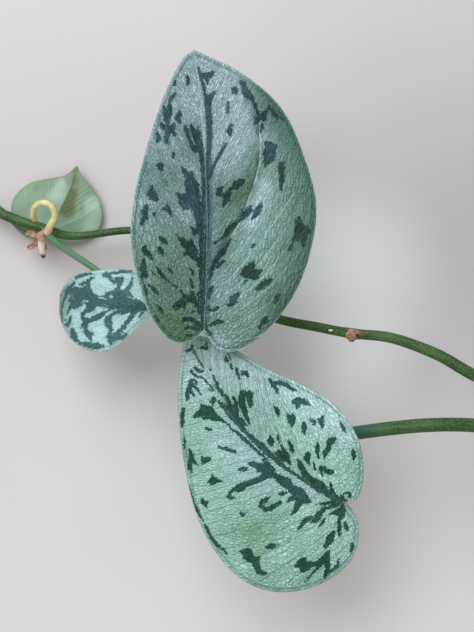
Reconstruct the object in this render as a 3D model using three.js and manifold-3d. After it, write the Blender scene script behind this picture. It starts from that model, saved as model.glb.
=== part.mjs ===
// A potted Silver Lady scindapsus: a plain clay pot of soil, rooted stems with their leaf stalks,
// heart-shaped leaves that lie on top of the stalks, and three longer stems that hang over the rim
// and run on along the surface. Millimetres, +Z up, origin at the middle of the pot's underside.
import * as THREE from "three";
import { mergeVertices } from "three/addons/utils/BufferGeometryUtils.js";
import Module from "manifold-3d";

const wasm = await Module();
wasm.setup();

// Driving dimensions
const CLEARANCE = 0.35;
const BLADE_THICKNESS = 0.9;
const SEAT_INSET = 3;
const STALK_ALONG = 0.16;
const STALK_LEAVING = 0.35;
const ROD_SIDEWAYS = new THREE.Vector3(0.3, 0.9, 0.3);

const POT = {
  baseRadius: 46,
  bodyTopRadius: 61.5,
  rimRadius: 68,
  height: 118,
  bandHeight: 27,
  wall: 5.5,
  floor: 9,
  edge: 1.6,
  drainRadius: 4.5,
  drainCircle: 22,
  drains: 4,
  segments: 40,
};
const SOIL = { level: 102, shoulder: 1.5, crumb: 1.1, rings: 5 };

const GREEN = new THREE.MeshStandardMaterial({ color: 0x4a7a45, roughness: 0.5, metalness: 0 });
const SILVER = new THREE.MeshStandardMaterial({ color: 0x9dbfb2, roughness: 0.45, metalness: 0 });
const PALE = new THREE.MeshStandardMaterial({ color: 0x9fbf9f, roughness: 0.6, metalness: 0 });
const CLAY = new THREE.MeshStandardMaterial({ color: 0xb5714c, roughness: 0.85, metalness: 0 });
const EARTH = new THREE.MeshStandardMaterial({ color: 0x3a2a20, roughness: 0.95, metalness: 0 });
const CREAM = new THREE.MeshStandardMaterial({ color: 0xd8c57a, roughness: 0.55, metalness: 0 });
const BROWN = new THREE.MeshStandardMaterial({ color: 0xa9785a, roughness: 0.8, metalness: 0 });

const radians = THREE.MathUtils.degToRad;
const vector = (p) => new THREE.Vector3(...p);
const plant = new THREE.Group();

// A fixed pseudo-random number from -1 to 1 for leaf i and trait k.
function jitter(i, k) {
  const x = Math.sin(i * 12.9898 + k * 78.233) * 43758.5453;
  return 2 * (x - Math.floor(x)) - 1;
}

function addNode(name, geometry, material) {
  const mesh = new THREE.Mesh(geometry, material);
  mesh.name = name;
  plant.add(mesh);
}

function solidOf(geometry) {
  const bare = new THREE.BufferGeometry().setAttribute("position", geometry.getAttribute("position"));
  if (geometry.index) bare.setIndex(geometry.index);
  const merged = mergeVertices(bare, 1e-4);
  return new wasm.Manifold(new wasm.Mesh({
    numProp: 3,
    vertProperties: new Float32Array(merged.attributes.position.array),
    triVerts: new Uint32Array(merged.index.array),
  }));
}

function geometryOf(solid) {
  const mesh = solid.getMesh();
  const stride = mesh.numProp;
  const positions = new Float32Array(mesh.numVert * 3);
  for (let i = 0; i < mesh.numVert; i++) {
    positions.set(mesh.vertProperties.subarray(i * stride, i * stride + 3), i * 3);
  }
  return new THREE.BufferGeometry()
    .setAttribute("position", new THREE.BufferAttribute(positions, 3))
    .setIndex(new THREE.BufferAttribute(mesh.triVerts, 1));
}

function curveThrough(points) {
  return new THREE.CatmullRomCurve3(points.map(vector), false, "catmullrom", 0.5);
}

// The value at t of a list of numbers spread evenly along a curve.
function valueAt(values, t) {
  const place = t * (values.length - 1);
  const i = Math.min(Math.floor(place), values.length - 2);
  return values[i] + (values[i + 1] - values[i]) * (place - i);
}

// A closed round rod along a curve, with one radius for each of the curve's own points.
function rod(points, radii, steps, sides) {
  const curve = curveThrough(points);
  const positions = [];
  const index = [];
  const normal = new THREE.Vector3();
  for (let i = 0; i <= steps; i++) {
    const centre = curve.getPoint(i / steps);
    const tangent = curve.getTangent(i / steps);
    if (i === 0) normal.crossVectors(tangent, ROD_SIDEWAYS).normalize();
    normal.addScaledVector(tangent, -normal.dot(tangent)).normalize();
    const binormal = new THREE.Vector3().crossVectors(tangent, normal);
    const radius = valueAt(radii, i / steps);
    for (let k = 0; k < sides; k++) {
      const turn = (k / sides) * 2 * Math.PI;
      const p = centre.clone().addScaledVector(normal, radius * Math.cos(turn));
      p.addScaledVector(binormal, radius * Math.sin(turn));
      positions.push(p.x, p.y, p.z);
    }
  }
  for (let i = 0; i < steps; i++) {
    for (let k = 0; k < sides; k++) {
      const a = i * sides + k;
      const b = i * sides + ((k + 1) % sides);
      index.push(a, b, b + sides, a, b + sides, a + sides);
    }
  }
  for (let k = 1; k < sides - 1; k++) {
    const last = steps * sides;
    index.push(0, k + 1, k, last, last + k, last + k + 1);
  }
  return new THREE.BufferGeometry()
    .setAttribute("position", new THREE.Float32BufferAttribute(positions, 3))
    .setIndex(index);
}

// The room that a stem needs: its own rod, wider all round and a little deeper.
function widerRod({ points, radii, steps, sides }) {
  const [x, y, z] = points[0];
  return rod([[x, y, z - CLEARANCE], ...points.slice(1)], radii.map((r) => r + CLEARANCE), steps, sides);
}

// Half outlines run from the notch at the stalk, round the lobe and up to the tip: [across, along].
const HEART_HALF = [
  [0, 0], [0.045, -0.06], [0.14, -0.085], [0.26, -0.02], [0.345, 0.12], [0.375, 0.28],
  [0.35, 0.46], [0.275, 0.65], [0.165, 0.82], [0.065, 0.935], [0, 1],
];
const LARGE_LEFT = [
  [0, 0], [4, -3], [11, -2.5], [18, 8], [22, 26], [21, 41], [16.9, 56], [10.9, 73.5], [4.4, 86.4], [0, 90.3],
];
const LARGE_RIGHT = [
  [0, 0], [3.5, -5.5], [9.5, -7], [18.5, -2], [28, 9], [34, 22], [37, 38], [34, 53.5],
  [27.2, 69.5], [14.8, 81.6], [0, 90.3],
];
const LOWER_LEFT = [
  [0, 0], [1.5, -8.6], [11, -15.3], [25.2, -13.6], [36.9, -5], [41.4, 8], [38.9, 25], [30, 42.5],
  [17, 60], [6, 70.5], [0, 75],
];
const LOWER_RIGHT = [
  [0, 0], [4.5, -2], [11.5, 3], [17.5, 12], [19.5, 24], [16.5, 36], [11.5, 48], [8, 60], [4, 69], [0, 75],
];
const SMALL_LEFT = [
  [0, 0], [2, 1.5], [7.3, 6], [13.4, 11.2], [16.6, 17], [16.2, 23.8], [13, 31.5], [7.2, 38.2], [0, 41],
];
const SMALL_RIGHT = [
  [0, 0], [4, -2.5], [8.6, -1], [11.9, 4], [12.3, 10.5], [11.6, 16.5], [10.4, 22.5], [8.6, 29],
  [5.2, 35.6], [0, 41],
];
const TURNED_LEFT = [
  [0, 0], [4, -0.3], [9.7, 1.5], [14.5, 6], [16.7, 12], [14.3, 18.4], [8.9, 22.9], [3.2, 25.4], [0, 28],
];
const TURNED_RIGHT = [
  [0, 0], [5, -2.2], [11.5, -0.5], [15.2, 5], [14.9, 10.5], [12.5, 15], [9, 18], [5.3, 20.6],
  [2, 23.4], [0, 28],
];

// Leaf traits, used where a leaf states none: fold is the rise of each half from the midrib valley,
// arch its droop towards the margin, droop the bend from notch to tip, in degrees, and sway the
// midrib's sideways bow as a share of the length.
const TRAITS = { fold: 0.3, arch: 0.0085, droop: 34, sway: 0.02, wave: 0.9, waves: 2.2, phase: 0 };
const VALLEY_WIDTH = 2.5;
const VEIN_SPREAD = 1.6;
const VEIN_BOW = 0.22;

function outlineOf(leaf, side) {
  if (leaf.outlines) return side < 0 ? leaf.outlines[0] : leaf.outlines[1];
  const across = leaf.length * (side < 0 ? leaf.leftWidth : leaf.rightWidth);
  return HEART_HALF.map(([x, y]) => [x * across, y * leaf.length]);
}

// The middle surface of a blade in its own frame: x to the right, y from notch to tip, z up.
// w runs along the margin from notch to tip, and r from the midrib to the margin.
function bladePoint(leaf, outline, side, w, r) {
  const margin = outline.getPoint(w);
  const edge = { x: margin.x * side, y: margin.y };
  const along = leaf.length * w ** VEIN_SPREAD;
  const sway = leaf.sway * leaf.length;
  const middle = { x: sway * Math.sin((Math.PI * along) / leaf.length), y: along };
  const chord = { x: edge.x - middle.x, y: edge.y - middle.y };
  const bow = VEIN_BOW * Math.sin(Math.PI * w) ** 2 * r * (1 - r) * side;
  const x = middle.x + chord.x * r + bow * chord.y;
  const y = middle.y + chord.y * r - bow * chord.x;
  const inside = THREE.MathUtils.clamp(y / leaf.length, 0, 1);
  const off = x - sway * Math.sin(Math.PI * inside);
  const valley = Math.hypot(off, VALLEY_WIDTH) - VALLEY_WIDTH;
  const ripple = leaf.wave * Math.sin(2 * Math.PI * leaf.waves * w + leaf.phase + side) * r * r;
  const height = leaf.fold * valley - leaf.arch * off * off + ripple * Math.sin(Math.PI * w);
  const bend = radians(leaf.droop) / leaf.length;
  const turn = bend * y;
  return [
    x,
    Math.sin(turn) / bend + height * Math.sin(turn),
    (Math.cos(turn) - 1) / bend + height * Math.cos(turn),
  ];
}

// The blade's frame in the plant: its notch, and the directions right, forward and up there.
function bladeFrame(leaf) {
  const [heading, pitch, roll] = [leaf.heading, leaf.pitch, leaf.roll].map(radians);
  const forward = new THREE.Vector3(
    Math.cos(heading) * Math.cos(pitch), Math.sin(heading) * Math.cos(pitch), Math.sin(pitch));
  const level = new THREE.Vector3(Math.sin(heading), -Math.cos(heading), 0);
  const above = new THREE.Vector3().crossVectors(level, forward);
  const right = level.clone().multiplyScalar(Math.cos(roll)).addScaledVector(above, Math.sin(roll));
  const up = above.clone().multiplyScalar(Math.cos(roll)).addScaledVector(level, -Math.sin(roll));
  return { notch: vector(leaf.notch), right, forward, up };
}

// A closed blade of even thickness: both faces share one pattern of triangles.
function blade(leaf) {
  const frame = bladeFrame(leaf);
  const place = new THREE.Matrix4().makeBasis(frame.right, frame.forward, frame.up).setPosition(frame.notch);
  const { rows, columns } = leaf;
  const positions = [];
  const put = (p) => positions.push(...vector(p).applyMatrix4(place)) / 3 - 1;
  const halves = [1, -1].map((side) => ({
    side,
    outline: new THREE.CatmullRomCurve3(
      outlineOf(leaf, side).map(([x, y]) => new THREE.Vector3(x, y, 0)), false, "catmullrom", 0.5),
  }));
  const midrib = [];
  for (let j = 0; j <= rows; j++) midrib.push(put(bladePoint(leaf, halves[0].outline, 1, j / rows, 0)));
  const triangles = [];
  const rim = [];
  for (const { side, outline } of halves) {
    const grid = [];
    for (let j = 0; j <= rows; j++) {
      const end = j === 0 || j === rows;
      const line = [midrib[j]];
      for (let i = 1; i <= columns; i++) {
        line.push(end ? midrib[j] : put(bladePoint(leaf, outline, side, j / rows, i / columns)));
      }
      grid.push(line);
    }
    for (let j = 0; j < rows; j++) {
      for (let i = 0; i < columns; i++) {
        const [a, b, c, d] = [grid[j][i], grid[j][i + 1], grid[j + 1][i + 1], grid[j + 1][i]];
        for (const t of [[a, b, c], [a, c, d]]) {
          if (new Set(t).size === 3) triangles.push(side > 0 ? t : [t[0], t[2], t[1]]);
        }
      }
      const edge = [grid[j][columns], grid[j + 1][columns]];
      rim.push(side > 0 ? edge : edge.reverse());
    }
  }
  const middle = new THREE.BufferGeometry()
    .setAttribute("position", new THREE.Float32BufferAttribute(positions, 3))
    .setIndex(triangles.flat());
  middle.computeVertexNormals();
  const normals = middle.attributes.normal.array;
  const count = positions.length / 3;
  const half = BLADE_THICKNESS / 2;
  const upper = positions.map((p, i) => p + half * normals[i]);
  const lower = positions.map((p, i) => p - half * normals[i]);
  const index = triangles.flatMap(([a, b, c]) => [a, b, c, a + count, c + count, b + count]);
  rim.forEach(([a, b]) => index.push(a, a + count, b + count, a, b + count, b));
  return new THREE.BufferGeometry()
    .setAttribute("position", new THREE.Float32BufferAttribute([...upper, ...lower], 3))
    .setIndex(index);
}

// The points between a stalk's ends: it leaves the stem towards the leaf, rises, and turns along it.
function risingWay(leaf, seat, forward, up) {
  const foot = vector(leaf.foot);
  const reach = foot.distanceTo(seat);
  const leave = seat.clone().sub(foot).setZ(leaf.rise * reach).normalize();
  const arrive = seat.clone().addScaledVector(forward, -STALK_ALONG * reach);
  arrive.addScaledVector(up, -leaf.hang * reach);
  const start = foot.clone().addScaledVector(leave, STALK_LEAVING * reach);
  const arc = new THREE.CubicBezierCurve3(foot, start, arrive, seat);
  return arc.getPoints(leaf.bends).slice(1, -1).map((p) => p.toArray());
}

// A leaf stalk ends flat under the midrib. A leaf may state the way that its stalk takes there.
function stalk(leaf) {
  const { notch, forward, up } = bladeFrame(leaf);
  const seat = notch.clone().addScaledVector(forward, SEAT_INSET);
  const tipHeight = (leaf.tipRadius * STALK_ALONG) / Math.hypot(STALK_ALONG, leaf.hang);
  seat.addScaledVector(up, -(BLADE_THICKNESS / 2 + CLEARANCE + tipHeight));
  const way = leaf.way ?? risingWay(leaf, seat, forward, up);
  const radii = [leaf.footRadius, (leaf.footRadius + 2 * leaf.tipRadius) / 3, leaf.tipRadius, leaf.tipRadius];
  return rod([leaf.foot, ...way, seat.toArray()], radii, leaf.bends, 5);
}

const STALK = { footRadius: 1.25, tipRadius: 0.85, rise: 0.5, hang: 0.2, bends: 6 };
const GRID = { rows: 9, columns: 2 };

function makeLeaf(given) {
  const outlines = given.outlines && { length: given.outlines[0].at(-1)[1] };
  return {
    ...TRAITS, ...STALK, ...GRID, pitch: 0, roll: 0, leftWidth: 0.92, rightWidth: 1.08,
    material: SILVER, ...outlines, ...given,
  };
}

// Leaves of the three longer stems. The foot is where the stalk leaves the stem.
const LONG_LEAVES = [
  { name: "leaf_long_1", foot: [-96, 3, 99.5], notch: [-98, 27, 110], heading: 100, pitch: -6, length: 56 },
  {
    name: "leaf_large", foot: [-214, 46.5, 13], notch: [-210.5, 25.5, 52],
    heading: 91.6, pitch: 6, roll: -3,
    outlines: [LARGE_LEFT, LARGE_RIGHT], rows: 14, columns: 4, fold: 0.2, arch: 0.005, droop: 16,
    sway: 0.024, wave: 0.7, phase: 0.6, bends: 8, rise: 0.2, hang: 0.5,
  },
  {
    name: "leaf_small", foot: [-266.5, 59, 12], notch: [-226.9, 32, 31],
    heading: 173, pitch: 12, roll: 3,
    way: [[-261.7, 54.6, 14], [-256.8, 51.3, 17], [-249.3, 46.5, 21], [-238, 38.6, 26]],
    outlines: [SMALL_LEFT, SMALL_RIGHT], rows: 12, columns: 3, fold: 0.16, arch: 0.008, droop: 72,
    sway: -0.03, wave: 0.3, bends: 8, footRadius: 1.35, tipRadius: 1.1, hang: 0.06,
  },
  {
    name: "leaf_turned", foot: [-298.4, 72.3, 5.2], notch: [-269.3, 58.6, 3.4],
    heading: 64, pitch: 8, roll: 180,
    way: [[-289.7, 70.6, 5], [-284.4, 68.2, 4.8], [-278, 61.7, 5], [-273, 58.4, 5.2]],
    outlines: [TURNED_LEFT, TURNED_RIGHT], rows: 12, columns: 3, fold: 0.22, arch: 0.004, droop: -14,
    sway: -0.05, wave: 0.4, bends: 9, hang: 0, material: PALE,
  },
  { name: "leaf_long_2", foot: [-330, 76.4, 2.6], notch: [-331, 96, 26], heading: 118, pitch: 4, length: 50 },
  { name: "leaf_long_3", foot: [-352, 73, 1.9], notch: [-350, 50, 25], heading: 236, pitch: 6, length: 44 },
  { name: "leaf_long_4", foot: [-374, 68, 1.9], notch: [-386, 82, 18], heading: 150, pitch: 8, length: 32 },
];
const SHORT_LEAVES = [
  {
    name: "leaf_short_1", foot: [-102, -5.3, 86], notch: [-103, -28, 95],
    heading: 274, pitch: -10, length: 56,
  },
  {
    name: "leaf_lower", foot: [-180.5, -14.7, 24], notch: [-165.8, -29.8, 49],
    heading: 133.4, pitch: 2, roll: 2,
    outlines: [LOWER_LEFT, LOWER_RIGHT], rows: 14, columns: 4, fold: 0.16, arch: 0.0045, droop: 16,
    sway: -0.1, wave: 0.8, phase: 2, bends: 8, rise: 0.2, hang: 0.5,
  },
];
const FRONT_LEAVES = [
  { name: "leaf_front_1", foot: [61, -74, 100], notch: [39, -92, 106], heading: 226, pitch: -8, length: 54 },
  { name: "leaf_front_2", foot: [70, -88, 70], notch: [93, -85, 84], heading: 350, pitch: -4, length: 56 },
  { name: "leaf_front_3", foot: [94, -113, 14], notch: [80, -133, 36], heading: 240, pitch: 0, length: 52 },
  { name: "leaf_front_4", foot: [124, -126, 2.8], notch: [138, -107, 30], heading: 46, pitch: 4, length: 50 },
  { name: "leaf_front_5", foot: [152, -129, 2], notch: [160, -148, 25], heading: 296, pitch: 4, length: 42 },
  { name: "leaf_front_6", foot: [176, -123, 2.1], notch: [190, -110, 19], heading: 24, pitch: 8, length: 32 },
];

// Stems: the points that each follows, and its radius at each point.
const LONG_STEM = {
  name: "stem_long",
  points: [
    [-24, 5, 86], [-25, 5, 101], [-31, 5, 112], [-46, 4.6, 119.6], [-64, 3.8, 120.6], [-80, 3.2, 117],
    [-96, 3, 99.5], [-110, 3.8, 76], [-125, 11.2, 56], [-136, 17.7, 50], [-149.4, 22.8, 41],
    [-162, 24.2, 33], [-173.5, 26.4, 27], [-185.3, 28.8, 22], [-199, 33.5, 16], [-213, 45.4, 13],
    [-225.2, 56.6, 12], [-237, 60, 12], [-257, 58, 12], [-267, 60.5, 12], [-278, 64, 10],
    [-298.4, 72.3, 5.2], [-317, 76, 3], [-340, 75.5, 1.9], [-362, 70, 1.9], [-382, 67, 2.2],
    [-395, 69, 5.5],
  ],
  radii: [
    2, 2, 2, 1.95, 1.95, 1.9, 1.85, 1.85, 1.8, 1.7, 1.6, 1.5, 1.35, 1.25, 1.2, 1.1, 1, 0.95,
    1.3, 1.45, 1.4, 1.35, 1.3, 1.25, 1.15, 0.95, 0.4,
  ],
  leaves: LONG_LEAVES,
  steps: 66,
};
const SHORT_STEM = {
  name: "stem_short",
  points: [
    [-27, -7, 86], [-28, -7, 101], [-34, -7, 112], [-48, -6.5, 119.8], [-64, -6.2, 120.8], [-80, -6, 116.5],
    [-95, -5.6, 98], [-109, -5, 73], [-124.5, -4.8, 52], [-140.6, -5.6, 44], [-161, -8.8, 36],
    [-172, -11.7, 30], [-184, -16, 22], [-195.5, -23, 14], [-203, -30, 10],
  ],
  radii: [2.1, 2.1, 2.1, 2.1, 2.1, 2.1, 2.1, 2.1, 2.1, 2.1, 2.05, 1.9, 1.6, 1.1, 0.4],
  leaves: SHORT_LEAVES,
  steps: 40,
};
const FRONT_STEM = {
  name: "stem_front",
  points: [
    [16, -20, 86], [16.5, -21, 101], [21, -27, 112], [29, -36, 119], [40.5, -49, 120.6], [50, -61, 117.5],
    [61, -74, 100], [70, -88, 70], [80, -101, 38], [94, -113, 14], [112, -122, 4.4], [135, -128, 1.9],
    [158, -128, 1.9], [180, -121, 2.4], [193, -116, 6],
  ],
  radii: [1.9, 1.9, 1.9, 1.9, 1.9, 1.8, 1.7, 1.65, 1.6, 1.55, 1.5, 1.4, 1.25, 1, 0.4],
  leaves: FRONT_LEAVES,
  steps: 44,
};

// The crown: short upright shoots, and leaves that climb round them like a spiral stair, so that
// each leaf clears the one below it.
const SHOOTS = [
  { turn: 20, radius: 21 }, { turn: 92, radius: 20 }, { turn: 146, radius: 13 },
  { turn: 232, radius: 20 }, { turn: 345, radius: 15 },
];
const SHOOT_RADIUS = 1.7;
const SHOOT_TAPER = [1, 1, 0.85, 0.5];
const SHOOT_LEAN = 0.16;
const SHOOT_FOOT = 86;
const CROWN = {
  leaves: 21, firstTurn: 80, stepTurn: 137.5, notchHeight: 127, heightStep: 2.9, notchRadius: 52,
  radiusStep: 1.45, length: 72, lengthStep: 1, pitch: -16, pitchStep: 1.4, stalkRise: 22,
};

// The shoot's own line, which leans outwards as it rises.
function shootPoint(shoot, z) {
  const turn = radians(shoot.turn);
  const radius = shoot.radius + SHOOT_LEAN * Math.max(0, z - SOIL.level);
  return [radius * Math.cos(turn), radius * Math.sin(turn), z];
}

function crownLeaves() {
  const apart = (a, b) => Math.abs(((a - b + 540) % 360) - 180);
  return Array.from({ length: CROWN.leaves }, (_, i) => {
    const turn = (CROWN.firstTurn + i * CROWN.stepTurn + 5 * jitter(i, 1)) % 360;
    const z = CROWN.notchHeight + i * CROWN.heightStep;
    const radius = CROWN.notchRadius - i * CROWN.radiusStep;
    const shoot = SHOOTS.reduce((best, s) => (apart(s.turn, turn) < apart(best.turn, turn) ? s : best));
    return makeLeaf({
      name: `leaf_crown_${i + 1}`,
      shoot,
      foot: shootPoint(shoot, z - CROWN.stalkRise),
      notch: [radius * Math.cos(radians(turn)), radius * Math.sin(radians(turn)), z],
      heading: turn + 15 * jitter(i, 2),
      pitch: CROWN.pitch + i * CROWN.pitchStep,
      roll: 9 * jitter(i, 3),
      length: (CROWN.length - i * CROWN.lengthStep) * (1 + 0.08 * jitter(i, 4)),
      droop: 34 + 6 * jitter(i, 5),
      phase: 3 * jitter(i, 6),
      leftWidth: 1 + 0.1 * jitter(i, 7),
      rightWidth: 1 - 0.1 * jitter(i, 7),
      bends: 6,
    });
  });
}

function makeShoot(shoot, i) {
  const leaves = crown.filter((leaf) => leaf.shoot === shoot);
  const top = Math.max(...leaves.map((leaf) => leaf.foot[2])) + 4;
  const heights = [SHOOT_FOOT, SOIL.level, (SOIL.level + top) / 2, top];
  return {
    name: `shoot_${i + 1}`,
    points: heights.map((z) => shootPoint(shoot, z)),
    radii: SHOOT_TAPER.map((share) => share * SHOOT_RADIUS),
    steps: 9,
    sides: 6,
    leaves,
  };
}

// The stem and its stalks are one growth, so they are joined into one solid.
function stemWithStalks({ points, radii, steps, sides, leaves }) {
  const stem = solidOf(rod(points, radii, steps, sides));
  return leaves.reduce((whole, leaf) => whole.add(solidOf(stalk(leaf))), stem);
}

function pot() {
  const { baseRadius, bodyTopRadius, rimRadius, height, bandHeight, wall, floor, edge } = POT;
  const bandFoot = height - bandHeight;
  const profile = [
    [0, 0], [baseRadius - edge, 0], [baseRadius, edge], [bodyTopRadius, bandFoot],
    [rimRadius - 2 - edge, bandFoot], [rimRadius - 2, bandFoot + edge], [rimRadius, height - 2 * edge],
    [rimRadius - edge, height], [rimRadius - wall, height], [rimRadius - wall - edge, height - edge],
    [bodyTopRadius - wall + 1, bandFoot], [baseRadius - wall, floor], [0, floor],
  ].map(([r, z]) => new THREE.Vector2(r, z));
  const body = solidOf(new THREE.LatheGeometry(profile, POT.segments).rotateX(Math.PI / 2));
  return Array.from({ length: POT.drains }, (_, i) => {
    const turn = ((i + 0.5) / POT.drains) * 2 * Math.PI;
    return solidOf(new THREE.CylinderGeometry(POT.drainRadius, POT.drainRadius, 3 * floor, 16)
      .rotateX(Math.PI / 2)
      .translate(POT.drainCircle * Math.cos(turn), POT.drainCircle * Math.sin(turn), floor / 2));
  }).reduce((left, hole) => left.subtract(hole), body);
}

// Soil fills the pot to below the rim. Its top is a little uneven, and each stem stands in a hole.
function soil(stems) {
  const { baseRadius, bodyTopRadius, wall, floor, height, bandHeight, rimRadius, edge } = POT;
  const bandFoot = height - bandHeight;
  const shoulder = SOIL.level - SOIL.shoulder;
  const rise = (shoulder - bandFoot) / (height - edge - bandFoot);
  const low = bodyTopRadius - wall + 1;
  const topRadius = low + (rimRadius - wall - edge - low) * rise - CLEARANCE;
  const profile = [[0, floor + CLEARANCE], [baseRadius - wall - CLEARANCE, floor + CLEARANCE],
    [low - CLEARANCE, bandFoot], [topRadius, shoulder]];
  for (let i = 1; i <= SOIL.rings; i++) profile.push([topRadius * (1 - i / SOIL.rings), SOIL.level]);
  const geometry = new THREE.LatheGeometry(profile.map(([r, z]) => new THREE.Vector2(r, z)), POT.segments)
    .rotateX(Math.PI / 2);
  const place = geometry.attributes.position;
  for (let i = 0; i < place.count; i++) {
    const [x, y, z] = [place.getX(i), place.getY(i), place.getZ(i)];
    const crumb = Math.sin(x * 0.31 + 1) * Math.cos(y * 0.37) + 0.6 * Math.sin(x * 0.83 - y * 0.71);
    if (z > SOIL.level - 0.01) place.setZ(i, z + SOIL.crumb * crumb);
  }
  return stems.reduce((left, stem) => left.subtract(solidOf(widerRod(stem))), solidOf(geometry));
}

// A young root that leaves the node and curls once round above the stem.
function curledRoot() {
  const [centreX, centreY, ringRadius] = [-267.2, 65.1, 4.1];
  const points = [[-265.9, 60, 14.4]];
  for (let angle = -52; angle <= 238; angle += 29) {
    const turn = radians(angle);
    const share = (angle + 52) / 290;
    points.push([
      centreX + ringRadius * Math.cos(turn), centreY + ringRadius * Math.sin(turn),
      16.2 + 2.2 * Math.sin(Math.PI * share) - 1.2 * share,
    ]);
  }
  return rod(points, points.map((_, i) => (i === points.length - 1 ? 0.8 : 1.05)), 24, 6);
}

// Dried sheath scraps that cling to a node: flat tapering lobes round the stem.
function sheath(lobes, stem) {
  const scraps = lobes.map(({ from, to, width, flat }) => {
    const start = vector(from);
    const end = vector(to);
    const axis = end.clone().sub(start);
    const shape = new THREE.SphereGeometry(0.5, 8, 6).scale(width, axis.length() * 1.15, flat);
    const turn = new THREE.Quaternion().setFromUnitVectors(new THREE.Vector3(0, 1, 0), axis.normalize());
    shape.applyQuaternion(turn).translate(...start.add(end).multiplyScalar(0.5));
    return solidOf(shape);
  });
  return scraps.reduce((whole, scrap) => whole.add(scrap)).subtract(stem);
}

const FAR_SHEATH = [
  { from: [-268, 61.2, 10], to: [-268.4, 51.4, 5], width: 3.4, flat: 2.2 },
  { from: [-268.6, 60.6, 9.5], to: [-272.6, 57, 7.6], width: 3.2, flat: 1.8 },
  { from: [-268.6, 57.8, 8], to: [-272.8, 54.4, 5.4], width: 2.2, flat: 1.6 },
];
const NEAR_SHEATH = [
  { from: [-164.8, 25.6, 34.2], to: [-160.6, 22.6, 35], width: 3, flat: 3.6 },
  { from: [-162.2, 25, 35], to: [-158.4, 23.6, 35.4], width: 2.8, flat: 3 },
];

// Assembly
const crown = crownLeaves();
const trailing = [LONG_STEM, SHORT_STEM, FRONT_STEM].map((stem) => {
  return { sides: 6, ...stem, leaves: stem.leaves.map(makeLeaf) };
});
const stems = [...trailing, ...SHOOTS.map(makeShoot)];
const longStemRoom = solidOf(widerRod(trailing[0]));

addNode("pot", geometryOf(pot()), CLAY);
addNode("soil", geometryOf(soil(stems)), EARTH);
for (const stem of stems) {
  addNode(stem.name, geometryOf(stemWithStalks(stem)), GREEN);
}
for (const leaf of stems.flatMap((stem) => stem.leaves)) {
  addNode(leaf.name, blade(leaf), leaf.material);
}
addNode("curled_root", curledRoot(), CREAM);
addNode("sheath_far", geometryOf(sheath(FAR_SHEATH, longStemRoom)), BROWN);
addNode("sheath_near", geometryOf(sheath(NEAR_SHEATH, longStemRoom)), BROWN);

export default plant;
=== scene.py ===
"""A potted silver lady scindapsus: silver leaves on trailing stems that hang over a plain clay pot.

The plant is described in millimetres, as it was measured, and MM turns its sizes into metres.
Each blade is worked out in its own flat frame: x to the right, y from the notch to the tip.
"""

import logging
import math
from collections.abc import Callable
from dataclasses import dataclass, field
from enum import Enum
from functools import reduce

import bpy
import numpy as np
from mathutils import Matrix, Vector


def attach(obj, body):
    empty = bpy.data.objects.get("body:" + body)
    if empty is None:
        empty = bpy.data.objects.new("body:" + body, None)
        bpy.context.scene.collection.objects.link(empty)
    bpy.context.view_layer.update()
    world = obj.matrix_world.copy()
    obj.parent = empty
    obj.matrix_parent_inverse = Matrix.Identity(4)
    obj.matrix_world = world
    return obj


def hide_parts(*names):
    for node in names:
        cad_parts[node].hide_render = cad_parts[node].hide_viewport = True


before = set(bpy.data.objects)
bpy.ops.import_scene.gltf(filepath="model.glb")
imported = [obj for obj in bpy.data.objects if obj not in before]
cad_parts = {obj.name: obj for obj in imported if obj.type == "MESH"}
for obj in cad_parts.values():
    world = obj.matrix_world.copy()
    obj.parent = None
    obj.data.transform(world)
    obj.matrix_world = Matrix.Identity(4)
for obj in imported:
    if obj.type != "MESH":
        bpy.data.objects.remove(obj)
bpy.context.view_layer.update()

MM = 0.001
PER_METRE = (1000.0, 1000.0, 1000.0)
BODY = "root"
MARK_REACH = 9.0
FAR_AWAY = 99.0
LOG = logging.getLogger("scindapsus")

Point = tuple[float, ...]
Stroke = tuple[Point, ...]
Face = tuple[int, ...]
Socket = bpy.types.NodeSocket
Material = bpy.types.Material
Piece = bpy.types.Object


class LeafKind(Enum):
    """How a blade is marked and dressed."""

    LARGE = "large"
    LOWER = "lower"
    SMALL = "small"
    TURNED = "turned"
    PLAIN = "plain"


# Half outlines run from the notch at the stalk, round the lobe and up to the tip: (across, along).
HEART_HALF = (
    (0, 0), (0.045, -0.06), (0.14, -0.085), (0.26, -0.02), (0.345, 0.12), (0.375, 0.28),
    (0.35, 0.46), (0.275, 0.65), (0.165, 0.82), (0.065, 0.935), (0, 1),
)
LARGE_LEFT = (
    (0, 0), (4, -3), (11, -2.5), (18, 8), (22, 26), (21, 41), (16.9, 56), (10.9, 73.5), (4.4, 86.4),
    (0, 90.3),
)
LARGE_RIGHT = (
    (0, 0), (3.5, -5.5), (9.5, -7), (18.5, -2), (28, 9), (34, 22), (37, 38), (34, 53.5), (27.2, 69.5),
    (14.8, 81.6), (0, 90.3),
)
LOWER_LEFT = (
    (0, 0), (1.5, -8.6), (11, -15.3), (25.2, -13.6), (36.9, -5), (41.4, 8), (38.9, 25), (30, 42.5), (17, 60),
    (6, 70.5), (0, 75),
)
LOWER_RIGHT = (
    (0, 0), (4.5, -2), (11.5, 3), (17.5, 12), (19.5, 24), (16.5, 36), (11.5, 48), (8, 60), (4, 69), (0, 75),
)
SMALL_LEFT = (
    (0, 0), (2, 1.5), (7.3, 6), (13.4, 11.2), (16.6, 17), (16.2, 23.8), (13, 31.5), (7.2, 38.2), (0, 41),
)
SMALL_RIGHT = (
    (0, 0), (4, -2.5), (8.6, -1), (11.9, 4), (12.3, 10.5), (11.6, 16.5), (10.4, 22.5), (8.6, 29),
    (5.2, 35.6), (0, 41),
)
TURNED_LEFT = (
    (0, 0), (4, -0.3), (9.7, 1.5), (14.5, 6), (16.7, 12), (14.3, 18.4), (8.9, 22.9), (3.2, 25.4), (0, 28),
)
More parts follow.
